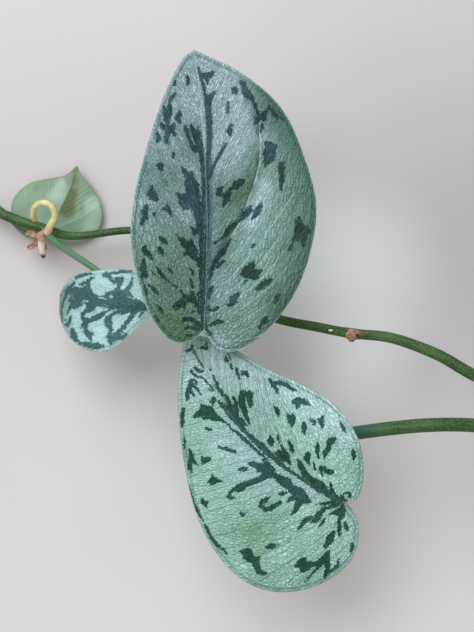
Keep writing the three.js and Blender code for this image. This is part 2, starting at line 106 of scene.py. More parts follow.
TURNED_RIGHT = (
    (0, 0), (5, -2.2), (11.5, -0.5), (15.2, 5), (14.9, 10.5), (12.5, 15), (9, 18), (5.3, 20.6), (2, 23.4),
    (0, 28),
)

# Dark marks as strokes of (x, y, radius). The first ones follow the midrib from the notch up.
LARGE_MARKS: tuple[Stroke, ...] = (
    ((0, 0.8, 0.8), (-0.4, 6, 0.6), (-0.4, 12, 0.6), (-0.3, 20, 0.5), (0, 28, 0.6), (0.6, 36, 0.6),
     (1.4, 44, 0.5), (1.3, 52, 0.6)),
    ((1.3, 52, 0.6), (1.1, 56, 0.9), (0.4, 59, 1.0), (-0.2, 61, 1.0), (-1, 62.2, 0.8), (-1.6, 64, 0.7),
     (-2, 65.3, 0.4)),
    ((0.2, 64.5, 0.3), (0.3, 62, 0.6)),
    ((0, 1, 0.7), (0.4, 8, 0.4), (0.9, 16, 0.45), (1.4, 24, 0.5), (2, 32, 0.5), (2.4, 40, 0.6),
     (2.5, 48, 0.5),
     (3.1, 54, 0.5), (3.7, 60, 0.7), (3.8, 66, 1.0), (3.8, 71, 0.9), (4.2, 73, 0.8), (4.9, 75, 0.7),
     (6, 75.8, 0.3)),
    ((3.2, 72, 0.4), (2.6, 78, 0.4), (1.6, 81.5, 0.5), (1.1, 84, 0.3)),
    ((2.2, 81.6, 0.7), (3.6, 81.3, 1.2), (5.2, 81.8, 0.8), (5.7, 82.8, 0.3)),
    ((3.8, 80.6, 0.7), (3.7, 79, 0.3)),
    ((-2.6, 81.4, 0.3), (-2.5, 79.8, 0.6), (-2.8, 78.4, 0.3)),
    ((-6.6, 79.8, 0.3), (-6.9, 78.6, 0.4)),
    ((-6.6, 75.6, 0.3), (-7.8, 74.3, 0.6), (-8.4, 73.3, 0.4)),
    ((-8.6, 72.2, 0.3), (-8.6, 71, 0.8), (-9.2, 69.3, 1.3), (-9.5, 67.5, 1.1), (-9.3, 66, 0.6),
     (-9.3, 64.8, 0.3)),
    ((-10.5, 71.3, 0.3), (-9.8, 70, 0.7)),
    ((-5.6, 69.8, 0.3), (-5.5, 68.4, 0.7), (-6.2, 67.5, 0.8), (-5.5, 66.4, 0.5)),
    ((-11.4, 65.7, 0.4), (-11, 64.7, 0.7), (-9.8, 63.8, 0.6), (-8, 64, 0.9), (-7.4, 65.6, 0.3)),
    ((-8, 64, 0.9), (-7.5, 62.8, 0.7), (-7.2, 61.8, 0.3)),
    ((-9.2, 63.5, 0.7), (-9.8, 61.5, 0.8), (-10, 59.8, 0.5)),
    ((-9, 60, 0.3), (-8.9, 58, 0.12)),
    ((-12.9, 62.8, 0.3), (-12.3, 61.3, 0.7), (-12.8, 59.8, 0.3)),
    ((-4, 65.2, 0.2), (-3.4, 63.5, 0.6), (-2.8, 61.5, 0.5), (-2.2, 59.5, 0.6), (-1.6, 57.8, 0.7),
     (-1, 56.6, 0.3)),
    ((-0.8, 58.6, 0.5), (0.2, 57.4, 0.8)),
    ((-7.9, 56.9, 0.15), (-8, 55.6, 0.45), (-7.9, 54.6, 0.2)),
    ((-13, 52.4, 0.4), (-12.2, 52.3, 0.9), (-11.8, 51.3, 0.6)),
    ((-5.5, 51.6, 0.15), (-4.7, 50.6, 0.7), (-3.6, 49.2, 1.0), (-2.9, 47.6, 1.6), (-2.3, 45.6, 2.0),
     (-2.1, 43, 2.2), (-1.8, 40.6, 1.9), (-1.2, 38.4, 1.4), (-0.7, 35.5, 0.9), (-0.5, 32, 0.6)),
    ((-2.4, 50, 0.4), (-2.4, 48.4, 0.8)),
    ((-4.4, 46.4, 0.3), (-3.6, 45.4, 0.8)),
    ((-7, 43.3, 0.4), (-5.9, 42.3, 0.9), (-4.2, 42.2, 1.3), (-2.5, 42, 1.8)),
    ((-6.5, 40.5, 0.4), (-5, 39.7, 0.9), (-3.5, 40.4, 1.3)),
    ((-5.2, 38.7, 0.3), (-4, 39.2, 0.8)),
    ((-14.9, 45.6, 0.3), (-15.3, 44, 0.9), (-14.8, 43, 1.4), (-14.2, 41.9, 0.9), (-13.4, 41.5, 0.2)),
    ((-16.6, 43.4, 0.3), (-15.4, 42.8, 0.8)),
    ((-17, 39.4, 0.6), (-17.6, 37.6, 1.1), (-17.3, 36.3, 0.8), (-18, 35.3, 0.6), (-18.6, 34, 0.4)),
    ((-14.6, 37.4, 0.4), (-14.4, 36.6, 0.3)),
    ((-10.5, 40, 0.25), (-10.4, 38.8, 0.7), (-9.7, 37.7, 0.5), (-9, 36.4, 0.15)),
    ((-11.8, 38.7, 0.3), (-10.6, 38.7, 0.6)),
    ((-3, 32.5, 0.3), (-2, 31.6, 0.8), (-0.8, 31.2, 0.6)),
    ((-2.3, 30.4, 0.3), (-1.6, 31, 0.5)),
    ((-12.8, 29.7, 0.4), (-11.8, 28.7, 0.8), (-10.8, 27.8, 0.3)),
    ((-7.8, 30.3, 0.15), (-6.5, 28.8, 0.5), (-5.2, 27.4, 1.1), (-3.7, 26.5, 1.7), (-3, 24.9, 1.7),
     (-2.4, 23.4, 0.9), (-1.4, 22.4, 0.7), (-0.6, 20.6, 0.7)),
    ((-5.9, 29.5, 0.2), (-5.2, 28, 0.7)),
    ((-3.3, 28.8, 0.3), (-3.2, 27, 1.0)),
    ((-5.4, 24.4, 0.4), (-4.2, 25, 1.0)),
    ((-17.8, 27.3, 0.3), (-18, 26, 0.9), (-17.2, 25, 0.9), (-16.3, 24.2, 0.5), (-15.5, 22.6, 0.15)),
    ((-13.5, 26.5, 0.4), (-12.5, 26, 0.45), (-12.3, 25, 0.3), (-12.2, 24.3, 0.2)),
    ((-13.6, 26, 0.4), (-13.2, 25, 0.3)),
    ((-18.1, 23.2, 0.3), (-18.5, 21.5, 0.8), (-18.6, 20, 1.0), (-18.1, 18.2, 0.8)),
    ((-20.1, 20.4, 0.2), (-19, 19.8, 0.6)),
    ((-19.4, 18.2, 0.12), (-18.2, 14.6, 0.2), (-17.8, 13.2, 0.35), (-17.8, 11.8, 0.2)),
    ((-16, 19.4, 0.2), (-15.2, 18, 0.15)),
    ((-14.4, 20.2, 0.2), (-13.2, 18.8, 0.5), (-12.4, 17.5, 0.5), (-11.4, 16.5, 0.2), (-9.4, 14.9, 0.14),
     (-6.4, 12.2, 0.14)),
    ((-10.8, 20, 0.2), (-10, 19.2, 0.35), (-9.5, 18.6, 0.15)),
    ((-3.8, 19.6, 0.2), (-3.2, 18.8, 0.35), (-3, 17.6, 0.2)),
    ((-3.9, 16.6, 0.2), (-3.6, 15.2, 0.5), (-3.2, 14, 0.4)),
    ((-17, 14.9, 0.12), (-15.8, 14, 0.4), (-15, 13, 0.35), (-14.1, 11.8, 0.15)),
    ((-9.7, 7.9, 0.4), (-8, 8.6, 0.9), (-6.3, 9.6, 1.0), (-4.4, 10.2, 1.2), (-3, 9.8, 0.9), (-2, 8.2, 0.6),
     (-1.1, 5.6, 0.5)),
    ((-6.2, 11.6, 0.3), (-5, 10.8, 0.8)),
    ((-3.6, 12.3, 0.3), (-3.4, 10.8, 0.8)),
    ((-1.6, 11.7, 0.3), (-1.2, 9.6, 0.5)),
    ((-8.8, 7.2, 0.4), (-7.4, 7.8, 0.5)),
    ((-6.2, 7.2, 0.2), (-6, 8.6, 0.6)),
    ((-14.5, 8.4, 0.2), (-13.8, 7.3, 0.6), (-13, 6.4, 0.25)),
    ((-15.3, 5, 0.12), (-14.4, 3.8, 0.35)),
    ((-6.8, 3, 0.3), (-6.3, 3.8, 0.5), (-4.4, 3.8, 0.6), (-3, 3, 0.6), (-1.6, 1.8, 0.7), (0, 0.4, 0.8)),
    ((-6, 0.9, 0.2), (-5, 1.3, 0.3)),
    ((-4.2, 1, 0.35), (-3, 0.8, 0.6), (-1.6, 0.2, 0.4)),
    ((-5.6, -1.4, 0.25), (-4.4, -1.4, 0.3)),
    ((-3.8, 5.7, 0.2), (-3.2, 6.2, 0.4)),
    ((10.1, 72.4, 0.2), (9.9, 70.8, 0.4), (9.7, 69, 0.2)),
    ((11.6, 76.6, 0.3), (12.8, 76.9, 0.45), (13.2, 76, 0.25)),
    ((11.8, 75.6, 0.4), (12.9, 75.1, 0.25)),
    ((14.3, 78.7, 0.4), (15.4, 78, 0.8), (15.8, 76.4, 0.8), (16.6, 75.3, 0.8), (17.6, 73.8, 0.6),
     (18.9, 70.6, 0.5), (19.9, 67.6, 0.6), (19.5, 66.4, 0.7), (18.4, 65.1, 0.3)),
    ((15.4, 76, 0.6), (15.6, 74.4, 0.5), (16.6, 74, 0.4)),
    ((18.5, 67.4, 0.3), (19.4, 67, 0.5)),
    ((22.4, 69.1, 0.3), (21.4, 68, 0.9), (21.2, 66.8, 0.7), (22.2, 66.2, 0.2)),
    ((20.8, 65.2, 0.3), (20.7, 63.6, 0.6), (20.1, 62.2, 0.15)),
    ((22.9, 70.7, 0.3), (23.8, 69.5, 0.6), (24.6, 68.2, 0.6), (25.8, 66.1, 0.12)),
    ((26.4, 67.1, 0.12), (27.4, 65.9, 0.2)),
    ((10.9, 65, 0.2), (10.3, 63.6, 0.7), (10.4, 61.4, 0.25)),
    ((9.3, 63, 0.2), (10, 62.4, 0.5)),
    ((8.8, 59, 0.3), (7.8, 57, 0.5), (6.9, 55.5, 0.5), (5.2, 52.8, 0.3), (4.6, 51.6, 0.4), (3.6, 50, 0.8),
     (3.2, 48, 0.5)),
    ((21.6, 59.4, 0.4), (22.6, 58, 1.3), (24, 57.4, 1.2), (24.9, 57.8, 0.4)),
    ((22.8, 57.6, 1.3), (22.1, 55.8, 1.4), (22.6, 54.4, 1.3), (21.4, 53, 0.9), (21.2, 51.2, 0.2)),
    ((24.1, 55.2, 0.8), (23.2, 53.4, 0.7), (22.4, 52.2, 0.2)),
    ((27.3, 52.5, 0.2), (26.4, 51.6, 0.9), (26.2, 50, 1.0), (26.4, 48, 0.8), (26, 45, 0.5),
     (25.8, 43.6, 0.25)),
    ((14.3, 47.2, 0.4), (12.9, 46.5, 1.0), (11.7, 45.6, 1.2), (10.8, 44.7, 0.6)),
    ((9.7, 44.4, 0.4), (9, 43, 0.9), (8.5, 41.5, 1.0), (7.7, 40.2, 0.5), (7.3, 39, 0.15)),
    ((7.4, 43.4, 0.3), (8.2, 42.4, 0.6)),
    ((7.3, 45.3, 0.2), (6.2, 44.3, 0.6), (5.8, 43.1, 0.5), (6.8, 42.7, 0.2)),
    ((19.5, 39.8, 0.3), (18.8, 38.2, 0.9), (18, 36.8, 1.0), (17.2, 35.6, 0.7), (16.5, 34.8, 0.3)),
    ((16.3, 39, 0.2), (15.6, 37.6, 0.8), (14.6, 36.6, 1.0), (13.4, 35.6, 0.8), (12, 33.8, 0.2)),
    ((11.3, 34.2, 0.3), (10.3, 33, 0.9), (9.2, 31.8, 1.0), (8.2, 30.6, 0.9), (7.2, 29.6, 0.4),
     (5.5, 28.6, 0.2), (4.2, 27.6, 0.12)),
    ((9.5, 28.6, 0.2), (8, 26.3, 0.4), (6.2, 24.2, 0.7), (4.2, 21.5, 0.8), (3, 18.8, 0.6), (2.2, 15.8, 0.3)),
    ((8, 25.2, 0.2), (6.4, 23.6, 0.5)),
    ((7.3, 21.9, 0.3), (5.9, 21, 0.6), (4.9, 20, 0.4)),
    ((16.9, 26.8, 0.2), (16.2, 25.9, 0.35)),
    ((12.7, 17.6, 0.7), (14.2, 18.8, 1.3), (15.6, 19.8, 1.2), (16.4, 21.1, 0.4)),
    ((14.2, 18.8, 1.2), (16, 17.7, 1.2), (17.8, 17.9, 0.8), (18.7, 18.4, 0.3)),
    ((13.8, 16.8, 0.6), (15.5, 16.4, 0.7), (17.2, 16.3, 0.5)),
    ((13.1, 14.6, 0.12), (14.1, 15.5, 0.3)),
    ((21.8, 15.6, 0.3), (20.4, 14.8, 0.8), (19, 13.8, 1.0), (17.8, 13, 0.7), (16.6, 12.5, 0.2)),
    ((3.3, 13.7, 0.3), (2.5, 12.7, 0.6), (1.8, 10.4, 0.35)),
    ((11.6, 11.7, 0.2), (10.6, 10.6, 0.8), (9.4, 9.8, 0.9), (8.6, 9.1, 0.3)),
    ((10.5, 8.8, 0.25), (9.2, 8.1, 0.6), (7.8, 7.6, 0.2)),
    ((24.5, 10.6, 0.2), (23.4, 9.4, 0.8), (22.8, 8.4, 0.4)),
    ((4.7, 7.2, 0.35), (3.8, 6.5, 0.5), (3, 6.2, 0.2)),
    ((1.6, 7, 0.5), (2.2, 6.2, 0.25)),
    ((5.9, 2.4, 0.3), (4.8, 2.6, 0.7), (3.4, 2.2, 0.6), (1.9, 1.5, 0.25)),
    ((20, 3.7, 0.3), (19.4, 2.6, 0.9), (18.6, 1.8, 0.6), (17.4, 0.4, 0.15)),
    ((1, -0.2, 0.3), (1.8, -1.1, 0.6), (2.4, -1.7, 0.2)),
    ((31.1, 34.6, 0.4), (31, 33.2, 1.1), (31.3, 31.6, 1.5), (32.5, 30.6, 1.6), (33.5, 30.8, 1.1),
     (34.5, 30.1, 0.4)),
    ((31.3, 31.6, 1.4), (30.6, 29.4, 1.1), (29.9, 28.2, 0.8), (29, 27.3, 0.2)),
    ((32.4, 30, 1.4), (32.5, 28, 1.0), (32.3, 26.4, 0.5), (32.4, 25.5, 0.15)),
    ((30.1, 33.9, 0.35), (30.8, 33, 0.7)),
    ((29.4, 27.2, 0.2), (28.4, 25.6, 0.6), (27.7, 24.6, 0.2)),
)
LOWER_MARKS: tuple[Stroke, ...] = (
    ((0, 0.5, 0.9), (-1, 3, 1.2), (-1.8, 6, 1.0), (-2, 9, 1.1), (-2.6, 12, 0.9), (-2.8, 15, 1.0),
     (-2, 17.6, 0.9), (-1.3, 20, 0.3)),
    ((-1.2, 11.5, 0.3), (-1, 9.5, 0.7), (-1.5, 7, 0.8)),
    ((1.1, 7.4, 0.25), (0.3, 6.3, 0.5), (-0.5, 4.6, 0.6)),
    ((-3.3, 8, 0.4), (-4, 12, 0.4), (-4.8, 16, 0.4), (-5.8, 20, 0.5), (-6.4, 24, 0.6), (-6.8, 28, 1.0),
     (-6.8, 31, 1.1), (-7.2, 34, 0.8), (-7.5, 37, 0.6), (-7.6, 41, 0.5), (-7.6, 45, 0.6)),
    ((-8.4, 26, 0.2), (-8.8, 30, 0.35), (-9.2, 35, 0.5), (-9.6, 39, 0.45), (-10.3, 42.4, 0.2)),
    ((-7.3, 50.8, 0.4), (-7, 48.4, 0.9), (-6.6, 46, 1.5), (-6.4, 44.2, 1.1), (-6.8, 42, 0.7), (-7, 40, 0.6)),
    ((-4.3, 51.2, 0.3), (-4.4, 49.6, 0.7), (-5.3, 47.8, 0.9), (-6, 46.3, 1.1)),
    ((-2.6, 48.7, 0.25), (-3.5, 47, 0.5), (-4.4, 45.6, 0.6), (-5.4, 44.2, 0.6)),
    ((-5.8, 41.8, 0.5), (-6, 40.2, 0.7), (-5.7, 39.2, 0.15)),
    ((-4.2, 55.7, 0.3), (-4.6, 54, 0.4), (-4.5, 52.7, 0.6), (-4.9, 51.4, 0.3)),
    ((-3.7, 55.4, 0.4), (-3.2, 57.5, 0.25), (-2.9, 58.6, 0.15)),
    ((-2.3, 60.4, 0.15), (-1.9, 60.8, 0.2)),
    ((-6, 54.4, 0.18), (-5.8, 57, 0.18), (-5.7, 60, 0.18), (-6.4, 61.4, 0.12)),
    ((-6.9, 55.7, 0.3), (-6.1, 55, 0.25)),
    ((-3.4, 62.8, 0.15), (-2.9, 66, 0.25), (-1.9, 69.6, 0.35)),
    ((-14.1, 58.5, 0.6), (-13.2, 59.6, 0.7), (-12, 60.3, 0.8), (-10.8, 61, 0.8), (-9.8, 61.8, 0.6),
     (-8.7, 62, 0.35), (-8.3, 61, 0.35), (-8.8, 59.8, 0.25)),
    ((-9.8, 61, 0.6), (-9.5, 58.8, 0.45), (-9.9, 57.6, 0.18), (-10, 56.4, 0.12)),
    ((-12, 60, 0.6), (-11.8, 58.7, 0.3), (-11.9, 57.8, 0.12)),
    ((-7.2, 64.4, 0.35), (-7.2, 62.8, 0.4), (-7, 61.3, 0.25)),
    ((-5.5, 64.3, 0.3), (-5.2, 62.8, 0.55), (-4.5, 61.8, 0.35)),
    ((-17.2, 57.3, 0.5), (-18.3, 56.2, 0.55), (-19.3, 55.2, 0.5), (-20.4, 54.1, 0.6), (-21.5, 53.4, 0.25)),
    ((-23.2, 49.9, 0.2), (-24.4, 48.8, 0.3), (-25.7, 47.5, 0.2)),
    ((-16.2, 52.7, 0.5), (-14.6, 52.4, 1.0), (-12.6, 52.2, 1.4), (-11.6, 50.6, 1.6), (-11.8, 48.6, 1.2),
     (-11.1, 47, 0.7), (-10.4, 45.4, 0.35), (-9.9, 43, 0.15)),
    ((-12.2, 54.2, 0.25), (-12, 52.8, 0.9)),
    ((-14.2, 50.2, 0.4), (-12.8, 49.6, 0.9)),
    ((-7.6, 53.4, 0.3), (-8.2, 52.3, 0.6)),
    ((-9.3, 52.9, 0.2), (-9.2, 51.4, 0.2)),
    ((-16.2, 47.8, 0.2), (-15.7, 46.6, 0.4), (-15.2, 46, 0.15)),
    ((-24.7, 46, 0.3), (-25.4, 44.3, 0.6), (-26.5, 43.2, 0.9), (-28, 42.6, 0.6), (-29.3, 41.5, 0.3)),
    ((-26.2, 43, 0.6), (-26.1, 41.6, 0.4), (-25.9, 40.8, 0.15)),
    ((-28.2, 41.8, 0.4), (-29, 40.1, 0.2)),
    ((-23.2, 41.5, 0.25), (-23.6, 40.2, 0.9), (-22.5, 39.8, 1.0), (-21.6, 39.3, 0.4)),
    ((-16.9, 40.4, 0.15), (-16.2, 39, 0.4), (-15.4, 37.6, 0.6), (-14.6, 36.2, 0.45), (-14, 34.9, 0.12)),
    ((-27.2, 33.8, 0.4), (-26, 33.6, 1.1), (-25, 33.2, 0.8), (-24.2, 32.2, 0.3), (-23.4, 31.2, 0.1)),
    ((-24.9, 34.9, 0.3), (-25.6, 34, 0.7)),
    ((-32.5, 31.8, 0.25), (-32.7, 30.5, 0.65), (-31.8, 29.8, 0.4)),
    ((-32.9, 30, 0.5), (-33, 28.8, 0.25)),
    ((-17.1, 30.5, 0.25), (-16, 29.6, 0.65), (-15, 29.3, 0.25)),
    ((-26, 26.6, 0.2), (-24.6, 27.2, 0.3), (-23, 27.2, 0.5), (-21.6, 26.5, 1.0), (-20.2, 26, 1.1),
     (-18.6, 25.7, 0.8), (-17, 25, 0.8), (-15, 24.1, 0.8), (-12.8, 23.6, 0.9), (-11, 22.6, 1.0),
     (-10, 21, 0.9), (-9.2, 19, 0.9), (-8.6, 17, 1.2)),
    ((-26, 26.6, 0.2), (-24.9, 25.5, 0.3), (-23.9, 24.6, 0.18)),
    ((-13.8, 29.8, 0.25), (-12.5, 28.7, 0.8), (-11.8, 27, 1.1), (-11, 25.4, 1.4), (-10.2, 23.4, 1.0)),
    ((-13.4, 26.2, 0.3), (-12, 25.6, 0.8)),
    ((-9.7, 27.8, 0.25), (-9.4, 25.4, 0.6), (-9.2, 23, 0.6)),
    ((-26.2, 20.2, 0.25), (-26.3, 19.4, 0.65), (-25.6, 19, 0.25)),
    ((-20.3, 17.5, 0.2), (-19.3, 18.3, 0.4), (-18, 18.4, 0.4), (-16.7, 17.8, 0.35), (-16, 17.2, 0.12)),
    ((-19.6, 17.2, 0.15), (-18.3, 17.2, 0.2), (-17, 17.5, 0.2)),
    ((-20.1, 16.9, 0.4), (-19.5, 15.3, 0.7), (-18, 14.7, 0.7), (-16.4, 14.4, 0.7), (-14.4, 13.9, 0.35)),
    ((-13.1, 16.1, 0.25), (-12.3, 15.5, 0.55), (-11.3, 14.9, 0.25)),
    ((-10.9, 19.4, 0.25), (-10, 18, 0.7), (-9.3, 16, 1.0), (-8.9, 14, 1.5), (-8.6, 12, 1.9), (-8.5, 10, 1.7),
     (-8, 8.4, 0.9), (-7.5, 7.4, 0.25)),
    ((-12.6, 12.6, 0.35), (-11, 12.2, 0.8), (-9.6, 12, 1.2)),
    ((-14.8, 8.8, 0.2), (-13, 9, 0.65), (-11.2, 9.7, 1.0), (-9.8, 10.2, 1.3)),
    ((-7.1, 5.7, 0.12), (-5.4, 4.6, 0.3), (-3.4, 3, 0.45), (-1.6, 1.6, 0.7)),
    ((-16.1, 4, 0.2), (-14.6, 4.2, 0.5), (-13, 4.3, 0.75), (-11.6, 4, 0.6), (-10.5, 3.7, 0.25)),
    ((-11.8, 2.8, 0.25), (-10.4, 2.3, 0.9), (-8.8, 2.6, 1.0), (-7, 2.9, 0.75), (-5.2, 2.5, 0.45),
     (-3.4, 1.7, 0.5), (-1.6, 1, 0.8)),
    ((-11, -0.3, 0.2), (-9.5, 0, 0.35), (-8.2, 0.3, 0.25)),
    ((-5.6, 0.2, 0.2), (-4, -0.5, 0.7), (-3, -1.4, 1.1), (-3.6, -2.7, 0.8), (-5, -3.3, 0.5),
     (-6.5, -4.7, 0.6),
     (-7.7, -6.1, 0.45), (-8.4, -6.8, 0.15)),
    ((-0.8, -0.6, 0.8), (-2.4, -2, 0.9), (-2.8, -3, 0.4)),
    ((-4.2, -5.2, 0.35), (-4.8, -6.4, 0.55), (-5.3, -7.3, 0.25)),
    ((-34.6, 11.4, 0.25), (-33.8, 10, 1.1), (-32.7, 9.3, 1.0), (-31.9, 9, 0.3)),
    ((-35.6, 9, 0.3), (-34, 8.8, 1.3), (-34, 7, 1.3), (-33.2, 5.9, 1.1), (-32, 5.9, 0.4)),
    ((-34, 6, 1.0), (-34.1, 4.4, 0.9), (-34.9, 3.1, 0.8), (-35.1, 2.4, 0.7), (-34.4, 1.3, 0.7),
     (-33.7, 0.5, 0.3)),
    ((-27.7, 6.5, 0.35), (-26.6, 5.8, 0.9), (-25.4, 5.2, 0.5), (-24.5, 4.8, 0.15)),
    ((-37.4, 25, 0.3), (-38, 23, 0.4), (-38.6, 21, 0.35), (-38.9, 19, 0.65), (-38.8, 17.4, 0.4),
     (-38.5, 15.3, 0.25), (-38.4, 13.2, 0.12)),
    ((-37, 26.6, 0.15), (-36, 30.6, 0.35), (-34.6, 34.2, 0.35), (-33.3, 37, 0.3), (-32, 39.6, 0.12)),
    ((-25, -4.3, 0.6), (-23.6, -4.7, 1.1), (-22.3, -4.8, 1.1), (-21.5, -4.3, 0.4)),
    ((-24.4, -6.9, 0.8), (-22.8, -6.8, 1.2), (-21.4, -7, 1.0), (-20, -8, 0.5)),
    ((-23.6, -5, 1.1), (-23.3, -6.8, 1.1)),
    ((-20.2, -8.2, 0.4), (-19, -8.7, 0.9), (-17.6, -8.9, 1.2), (-16.2, -9, 1.2), (-15.2, -8.4, 0.8),
     (-13.9, -8.1, 0.25)),
    ((-17.2, -9.6, 1.1), (-17.5, -11.1, 0.9), (-18.6, -12.1, 0.6), (-19.8, -12.9, 0.5), (-21, -13.4, 0.2)),
    ((-19, -9.6, 0.4), (-22, -9.6, 0.25), (-24.5, -9.7, 0.25), (-26.5, -10.1, 0.12)),
    ((-19.6, -13, 0.4), (-17.5, -13.4, 0.35), (-15, -13.2, 0.45), (-13.6, -12.1, 0.25)),
    ((-13.8, -6.1, 0.6), (-12.4, -6, 0.9), (-11.3, -5.4, 1.2), (-10.1, -4.9, 1.0), (-8.8, -4.7, 0.5)),
    ((-7.1, -11.3, 0.3), (-7.8, -12.4, 0.5), (-9.1, -13.1, 0.3)),
    ((4.4, 59.9, 0.4), (3.8, 58.8, 0.6)),
    ((5.6, 60.1, 0.15), (5.2, 58.5, 0.25)),
    ((3.8, 56.9, 0.35), (3.3, 55.5, 0.35)),
    ((4.2, 54.6, 0.3), (3.4, 53, 0.4), (2.7, 51.7, 0.15)),
    ((4.8, 52.5, 0.5), (5.5, 51.6, 0.8), (5.3, 50.6, 0.45)),
    ((0.3, 48.2, 0.4), (-0.4, 47.2, 0.9), (-1.5, 46, 1.1), (-2.4, 44.6, 1.1), (-3.1, 43, 0.8),
     (-3.9, 41.4, 0.6),
     (-4.4, 39.9, 0.5), (-4.7, 38.8, 0.2)),
    ((-0.4, 47.2, 0.8), (0.8, 46.9, 0.8), (1.3, 47.7, 0.25)),
    ((2.8, 46.6, 0.35), (1.6, 45.8, 0.8), (0.6, 44.7, 0.9), (-0.1, 43.6, 0.6), (-0.7, 42.7, 0.2)),
    ((2.6, 45.1, 0.35), (1.5, 44.9, 0.4)),
    ((9.8, 44.9, 0.3), (9.4, 43.2, 0.65), (9.2, 41.6, 0.6), (8.7, 40, 0.2)),
    ((10, 43.1, 0.4), (11.4, 41.9, 0.65), (12.2, 40.6, 0.65), (12.6, 39, 0.5), (13, 37.5, 0.4),
     (13.5, 36.2, 0.12)),
    ((4.9, 37.5, 0.3), (4.7, 36, 0.65), (4.2, 34.8, 0.4), (3.8, 34, 0.15)),
    ((10.4, 34.3, 0.6), (11.8, 33.6, 1.2), (12.7, 32.5, 0.8), (13.3, 31.2, 0.6), (13.5, 30.1, 0.2)),
    ((10, 32.3, 0.35), (11, 33, 0.8)),
    ((6.4, 32.7, 0.3), (6.2, 31.3, 0.9), (5.8, 30.2, 1.1), (5, 29.2, 0.4)),
    ((6, 30.4, 1.0), (7.2, 30.9, 0.6), (7.4, 31.8, 0.2)),
    ((-2.7, 31.3, 0.5), (-3.4, 30.3, 1.0), (-4.3, 29.4, 0.5)),
    ((-0.8, 29.9, 0.35), (-1.6, 29, 0.18), (-2, 27.4, 0.15), (-2.5, 25.5, 0.2)),
    ((-5.2, 26.3, 0.35), (-5, 24.6, 0.6), (-5.2, 23, 0.25)),
    ((-3.9, 26, 0.6), (-3.7, 24, 1.1), (-3.6, 22.6, 1.0), (-3.9, 20.8, 0.35)),
    ((-2.3, 26.3, 0.3), (-2.5, 24.6, 0.6), (-3, 23, 0.8)),
    ((1.1, 26.4, 0.25), (0.4, 25.2, 0.55), (-0.2, 24, 0.6), (-0.7, 22.8, 0.2)),
    ((8.3, 27.4, 0.35), (7.5, 26.4, 0.85), (6.7, 25.5, 0.7), (6, 24.8, 0.25)),
    ((10.6, 26.4, 0.3), (10.9, 25.4, 0.55), (10.3, 24.8, 0.35)),
    ((14, 24.9, 0.25), (12.9, 24.2, 0.9), (12.4, 23.2, 0.6), (11.5, 22.3, 0.2)),
    ((3.1, 19.6, 0.2), (2.2, 19, 0.9), (1.2, 18.4, 1.0), (0.6, 17, 0.5), (0.5, 16.3, 0.2)),
    ((7.2, 20, 0.2), (6.2, 18.8, 0.6), (5.2, 17.8, 0.65), (4.2, 16.2, 0.2)),
    ((5.6, 15, 0.4), (7, 15.8, 0.9), (8.2, 16, 0.65), (9.2, 16.6, 0.75), (10, 17.5, 0.8), (11.2, 17.2, 1.1),
     (12.1, 16.9, 0.4)),
    ((16.9, 19.5, 0.15), (16.5, 18, 0.4), (16.1, 16.3, 0.3)),
    ((1.9, 16, 0.15), (1.2, 15, 0.35), (0.6, 14, 0.15)),
    ((1, 11, 0.2), (1.6, 12.4, 0.4), (2.2, 13.4, 0.4), (3.2, 12.5, 0.6), (2.9, 11.3, 0.6), (3.6, 10.2, 0.85),
     (4.3, 9.7, 0.3)),
    ((13.8, 10.5, 0.25), (13.1, 9.6, 0.75), (12.5, 8.6, 0.5), (11.8, 8.1, 0.15)),
    ((0.9, -0.1, 0.4), (0.6, 1, 0.5), (1, 2.1, 0.4)),
    ((2, 1.9, 0.25), (3, 1.6, 0.35), (3.3, 0.7, 0.35), (2.6, -0.1, 0.35)),
    ((-3.7, 70.3, 0.3), (-2.6, 69.8, 0.5), (-1.4, 70.3, 0.5)),
    ((0.2, 67.7, 0.3), (1.2, 67.2, 0.5), (1.7, 66, 0.25)),
    ((2.4, 67.4, 0.4), (2, 66.2, 0.3)),
)
